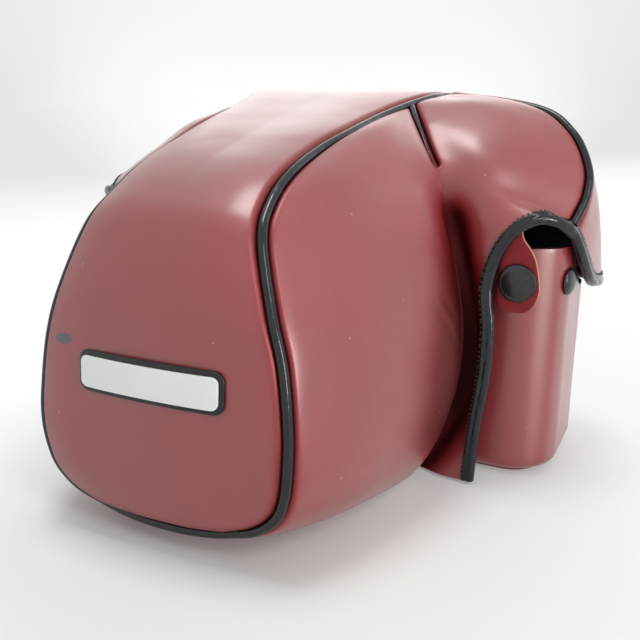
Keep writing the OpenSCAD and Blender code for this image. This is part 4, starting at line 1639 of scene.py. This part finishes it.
class CASE_OT_shoulders(bpy.types.Operator):
    """Makes the shoulders with their skirts, and the rear panels round the ends and the back."""

    bl_idname = "case.shoulders"
    bl_label = "Shoulders and rear panels"

    def execute(self, context):
        halves = cover_halves(sizes())
        seams = Seams(halves)
        for side, label in SIDES:
            self.shoulder(halves[side], seams, side, label)
            self.rear_panel(halves[side], seams, side, label)
        return {"FINISHED"}

    def shoulder(self, cover, seams, side, label):
        def on_face(u, v):
            s = station(SHOULDER_RUN, 1 - u if side > 0 else u)
            wide = (spline(cover.inner, s) - spline(cover.free, s)).length
            low = (SEAM_CLEAR - BEHIND_CREASE * smooth((11.4 - s) / 2.4)) / wide
            high = 1 - (SEAM_CLEAR if s > cover.arch else EDGE_CLEAR) / wide
            return s, low + (high - low) * crowd(v)

        def place(u, v):
            return mirrored(cover.shoulder_face(*on_face(u, v)), side)

        def beyond(share):
            return on_face(*share)[1] < 0

        def rise(point, away, share):
            deep, opened, dark = seams.crease(point)
            if beyond(share):
                deep = 0.0
            return seam_roll(away) + crease_dip(deep, dark) * opened + folds(point, SHOULDER_FOLDS)

        name = "shoulder_leather_" + label
        piece = leather_sheet(
            name, 170, 80, place, rise, cover.leather_t, seams, crease_shade=0.52, spread=10.5 * MM, beyond=beyond
        )
        finish_cover(piece, "shoulder_" + label)

    def rear_panel(self, cover, seams, side, label):
        def place(u, v):
            s = station(REAR_RUN, 1 - u if side > 0 else u)
            wide = (spline(cover.rear_top, s) - spline(cover.rear_low, s)).length
            low = SEAM_CLEAR / wide
            high = 1 - EDGE_CLEAR / wide
            return mirrored(cover.rear_face(s, low + (high - low) * crowd(v)), side)

        def rise(point, away, share):
            return seam_roll(away)

        piece = leather_sheet("rear_leather_" + label, 120, 64, place, rise, cover.leather_t, seams)
        finish_cover(piece, "rear_panel_" + label)


class CASE_OT_piping(bpy.types.Operator):
    """Makes the piping along the front panel, beside the nose and over the shoulders."""

    bl_idname = "case.piping"
    bl_label = "Piping"

    def execute(self, context):
        size = sizes()
        seams = Seams(cover_halves(size))
        middle = Vector((0, -size.case_d / 2, size.cover_h / 2))
        radius = size.piping_d / 2
        front = cord("front_piping_cord", seams.front, middle, radius, -0.05 * MM)
        finish(front, "cover", ["front_piping"], "vinyl", "black_vinyl")
        inside = Vector((0, 0, size.cover_h / 2))
        for side, label in SIDES:
            name = "gusset_piping_cord_" + label
            thin = radius - 0.1 * MM
            gusset = cord(name, seams.gussets[side], middle, thin, -0.05 * MM, taper=0.92, dive=0.5 * MM)
            finish(gusset, "cover", ["gusset_piping_" + label], "vinyl", "black_vinyl")
            rear = cord("rear_piping_cord_" + label, seams.rears[side], inside, radius, -0.1 * MM)
            finish(rear, "cover", ["rear_piping_" + label], "vinyl", "black_vinyl")
        return {"FINISHED"}


class CASE_OT_binding(bpy.types.Operator):
    """Makes the rolled binding of the free edges, with its stitches."""

    bl_idname = "case.binding"
    bl_label = "Edge binding"

    # Section of the binding: inwards along the leather, outwards from it, and how much both are widened
    section = [
        (1.55, -0.05), (1.50, 0.35), (1.15, 0.58), (0.62, 0.50), (0.30, 0.40),
        (-0.05, 0.62), (-0.75, 0.58), (-1.28, 0.1), (-1.48, -0.8), (-1.30, -1.6),
        (-0.7, -2.05), (0.3, -2.1), (1.2, -1.95), (1.55, -1.55), (1.58, -0.8),
    ]
    wider = 1.16
    thicker = 1.08
    # A stitch: radius, length, lean along the edge, and how far in and out it lies
    stitch_r = 0.24 * MM
    stitch_l = 0.95 * MM
    stitch_lean = 0.35
    stitch_in = 1.68 * MM
    stitch_out = 0.28 * MM

    def execute(self, context):
        size = sizes()
        halves = cover_halves(size)
        profile = [(self.wider * b * MM, self.thicker * n * MM) for b, n in self.section]
        for side, label in SIDES:
            rows = self.spine(halves[side])
            spine = [(mirrored(p, side), mirrored(a, side), mirrored(n, side)) for p, a, n in rows]
            piece = swept("edge_binding_roll_" + label, spine, profile)
            self.gather(piece, mirrored(halves[side].shoulder_face(10.78, 1.0), side))
            round_edges(piece, 0.15 * MM, 2, 50)
            shade(piece, 50)
            finish(piece, "cover", ["edge_binding_" + label], "vinyl", "black_vinyl")
            row = self.stitches("binding_stitches_" + label, spine, size.stitch_pitch)
            finish(row, "cover", [], "vinyl", "black_thread")
        return {"FINISHED"}

    def gather(self, piece, corner):
        """Puckers the binding, and bunches it up at the corner where the arch meets the end."""
        lifts = []
        for point in piece.data.vertices:
            away = (point.co - corner).length
            bunch = 0.55 * hump(away, 2.8 * MM)
            pucker = noise.noise(point.co * 620) * (0.09 + 0.22 * hump(away, 6 * MM))
            lifts.append(point.normal * (bunch + pucker) * MM)
        lift_points(piece, lifts)

    def spine(self, cover):
        """Frames along the skirt, the arch, the end and the back: point, inwards, outwards."""
        skirt = [(cover.shoulder_face, 0.03 + 10.75 * i / 149, 1.0, (0, -1)) for i in range(150)]
        arch_end = [(cover.rear_face, 0.0, 0.10 + 0.82 * i / 29, (1, 0)) for i in range(30)]
        low_edge = [(cover.rear_face, 0.12 + 4.84 * i / 109, 1.0, (0, -1)) for i in range(110)]
        back = [(cover.front_face, 20.0, 1 - (i - 0.01) / 25, (-1, 0)) for i in range(1, 26)]
        return self.even_out([self.frame_at(*row) for row in skirt + arch_end + low_edge + back])

    def frame_at(self, face, s, t, inwards):
        """Point of a face, inwards as shares of its two directions, and outwards."""
        h = 0.01
        along = face(s + h, t) - face(s - h, t)
        over = face(s, t) - face(s, t - h) if t > 0.99 else face(s, t + h) - face(s, t)
        out = -along.cross(over).normalized()
        inward = along * inwards[0] + over * inwards[1]
        return face(s, t), inward.normalized(), out

    def even_out(self, rows):
        """Lets the points and directions turn smoothly where one face hands over to the next."""
        for _ in range(6):
            rows = [
                row if i in (0, len(rows) - 1) else tuple(
                    (rows[i - 1][k] + 2 * row[k] + rows[i + 1][k]) / 4 for k in range(3)
                )
                for i, row in enumerate(rows)
            ]
        made = []
        for i, (point, inward, out) in enumerate(rows):
            along = (rows[min(i + 1, len(rows) - 1)][0] - rows[max(i - 1, 0)][0]).normalized()
            out = (out - along * out.dot(along)).normalized()
            across = out.cross(along)
            made.append((point, across if across.dot(inward) > 0 else -across, out))
        return made

    def stitches(self, name, spine, pitch):
        """One short stitch over the edge of the band, copied along it."""
        deselect()
        bpy.ops.mesh.primitive_cylinder_add(vertices=6, radius=self.stitch_r, depth=self.stitch_l)
        first = bpy.context.object
        round_edges(first, 0.1 * MM, 1)
        points = [v.co.copy() for v in first.data.vertices]
        faces = [list(f.vertices) for f in first.data.polygons]
        bpy.data.objects.remove(first)
        every, all_faces = [], []
        walked = 0.0
        for i in range(1, len(spine)):
            point, inward, out = spine[i]
            walked += (point - spine[i - 1][0]).length
            if walked < pitch:
                continue
            walked -= pitch
            along = (point - spine[i - 1][0]).normalized()
            slant = (inward + along * self.stitch_lean).normalized()
            turn = Matrix((out.cross(slant), out, slant)).transposed()
            foot = point + inward * self.stitch_in + out * self.stitch_out
            start = len(every)
            every += [foot + turn @ p for p in points]
            all_faces += [[start + k for k in face] for face in faces]
        mesh = bpy.data.meshes.new(name)
        mesh.from_pydata(every, [], all_faces)
        row = bpy.data.objects.new(name, mesh)
        bpy.context.scene.collection.objects.link(row)
        close_up(row)
        shade(row, 60)
        return row


class CASE_OT_plate(bpy.types.Operator):
    """Makes the blank plate on the nose: dark backing and pale face."""

    bl_idname = "case.plate"
    bl_label = "Plate"

    # Half width, half height, corner radius, lift off the front panel and thickness, in mm
    backing = (19.7, 4.9, 2.6, 0.0, 1.3)
    face = (18.5, 3.7, 1.7, 1.3, 0.7)

    def execute(self, context):
        cover = Cover(sizes())
        backing = self.layer("plate_backing", cover, self.backing)
        finish(backing, "cover", ["plate_back"], "plate", "black_vinyl")
        face = self.layer("plate_front", cover, self.face)
        finish(face, "cover", ["plate_face"], "plate", "pale_plate")
        return {"FINISHED"}

    def layer(self, name, cover, measures):
        """A rounded plate bent to the front panel."""
        wide, high, corner, lift, thick = [measure * MM for measure in measures]
        low_box, high_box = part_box("plate_back")
        middle_z = (low_box.z + high_box.z) / 2

        def place(u, v):
            x = wide * (2 * u - 1)
            z = high * (2 * v - 1)
            ex = abs(x) - (wide - corner)
            ez = abs(z) - (high - corner)
            if ex > 0 and ez > 0:
                pull = max(ex, ez) / math.hypot(ex, ez)
                x = math.copysign(wide - corner + ex * pull, x)
                z = math.copysign(high - corner + ez * pull, z)
            return self.on_front(cover, x, middle_z + z, lift)

        piece, _ = laid_grid(name, 80, 28, place)
        thicken(piece, thick, 1)
        round_edges(piece, 0.28 * MM, 3, 50)
        shade(piece, 40)
        return piece

    def on_front(self, cover, x, z, lift):
        """Point of the front panel at a width and a height, lifted off it."""
        s = 5.4
        for _ in range(8):
            t = x / spline(cover.edge, s).x
            point = cover.front_face(s, t)
            slope = (cover.front_face(s + 0.05, t).z - point.z) / 0.05
            s += (z - point.z) / slope
        t = x / spline(cover.edge, s).x
        point = cover.front_face(s, t)
        along = cover.front_face(s + 0.02, t) - cover.front_face(s - 0.02, t)
        over = cover.front_face(s, t + 0.02) - cover.front_face(s, t - 0.02)
        return point + along.cross(over).normalized() * -lift


class CASE_OT_tabs(bpy.types.Operator):
    """Makes the leather tabs that hang from the shoulders, with their caps and sockets."""

    bl_idname = "case.tabs"
    bl_label = "Tabs"

    # Edges of the tab from the tip up: height over the stud, left and right of it, seen from the front
    edges = [
        (-8.2, -0.9, -0.7), (-8.0, -2.6, 1.7), (-7.3, -4.0, 3.2), (-4.9, -5.3, 5.0),
        (-1.9, -5.5, 5.7), (1.3, -5.3, 5.4), (6.0, -4.7, 4.3), (9.0, -4.3, 2.7),
        (11.5, -4.1, 0.8), (13.5, -4.1, 0.3), (16.0, -4.1, 0.3),
    ]

    def execute(self, context):
        size = sizes()
        for side, label in SIDES:
            self.tab(size, side, label)
            self.cap(size, side, label)
            self.socket(size, side, label)
        return {"FINISHED"}

    def tab(self, size, side, label):
        low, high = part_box("snap_tab_" + label)
        stud = stud_place(size, 1, low.y)
        rows = many(self.edges)

        def place(u, v):
            rise, left, right = spline(rows, (len(rows) - 1) * v)
            x = stud.x + (left + (right - left) * u)
            return Vector((side * x, low.y, stud.z + rise))

        piece, _ = laid_grid("tab_leather_" + label, 22, 64, place)
        if piece.data.polygons[0].normal.y > 0:
            pick(piece)
            bpy.ops.object.mode_set(mode="EDIT")
            bpy.ops.mesh.select_all(action="SELECT")
            bpy.ops.mesh.flip_normals()
            bpy.ops.object.mode_set(mode="OBJECT")
        # The whole tab is marked a little dark and less shiny: painted shade under the arch
        mark_points(piece, "seam", [0.20] * len(piece.data.vertices))
        thicken(piece, high.y - low.y)
        round_edges(piece, 0.25 * MM, 2, 55, material=1)
        shade(piece, 40)
        nodes = ["snap_tab_" + label, "tab_root_" + label]
        finish(piece, None, nodes, "leather", "tab_leather", "raw_edge")
        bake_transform(piece)

    def cap(self, size, side, label):
        _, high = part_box("snap_cap_" + label)
        r = size.cap_d / 2 / MM
        piece = turned("cap_dome_" + label, [
            (r - 0.3, 0.0), (r, 0.2), (r, 0.65), (r - 0.18, 0.98), (r - 0.5, 1.12), (r - 0.85, 1.1),
            (r - 1.2, 1.16), (3.0, 1.42), (1.6, 1.62), (0.7, 1.69), (0.03, 1.7),
        ], 64)
        stand(piece, stud_place(size, side, high.y), (0, -1, 0))
        shade(piece, 30)
        finish(piece, "tab_" + label, ["snap_cap_" + label], "stud", "black_lacquer")

    def socket(self, size, side, label):
        low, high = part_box("snap_socket_" + label)
        deep = (high.y - low.y) / MM
        piece = turned("socket_ring_" + label, [
            (3.3, 0.0), (3.6, 0.15), (3.6, deep - 0.2), (3.4, deep),
            (2.4, deep), (2.05, deep - 0.15), (2.05, 0.12),
        ])
        stand(piece, stud_place(size, side, low.y), (0, 1, 0))
        shade(piece, 35)
        finish(piece, "tab_" + label, ["snap_socket_" + label], "metal", "plated_steel")


class CASE_PT_panel(bpy.types.Panel):
    """Lists the steps that build the case."""

    bl_idname = "CASE_PT_panel"
    bl_label = "Ever ready case"
    bl_space_type = "VIEW_3D"
    bl_region_type = "UI"
    bl_category = "Ever ready case"

    def draw(self, context):
        for step in STEPS:
            self.layout.operator(step.bl_idname)


STEPS = [
    CASE_OT_stage,
    CASE_OT_half_case,
    CASE_OT_hinge,
    CASE_OT_studs,
    CASE_OT_camera_screw,
    CASE_OT_front_panel,
    CASE_OT_nose,
    CASE_OT_shoulders,
    CASE_OT_piping,
    CASE_OT_binding,
    CASE_OT_plate,
    CASE_OT_tabs,
]
CLASSES = [CaseSizes, CaseColours, *STEPS, CASE_PT_panel]


def register():
    for kind in CLASSES:
        bpy.utils.register_class(kind)
    bpy.types.Scene.ever_ready_sizes = bpy.props.PointerProperty(type=CaseSizes)
    bpy.types.Scene.ever_ready_colours = bpy.props.PointerProperty(type=CaseColours)


def unregister():
    del bpy.types.Scene.ever_ready_colours
    del bpy.types.Scene.ever_ready_sizes
    for kind in reversed(CLASSES):
        bpy.utils.unregister_class(kind)


def main():
    register()
    bpy.ops.case.stage()
    bpy.ops.case.half_case()
    bpy.ops.case.hinge()
    bpy.ops.case.studs()
    bpy.ops.case.camera_screw()
    bpy.ops.case.front_panel()
    bpy.ops.case.nose()
    bpy.ops.case.shoulders()
    bpy.ops.case.piping()
    bpy.ops.case.binding()
    bpy.ops.case.plate()
    bpy.ops.case.tabs()


if __name__ == "__main__":
    main()
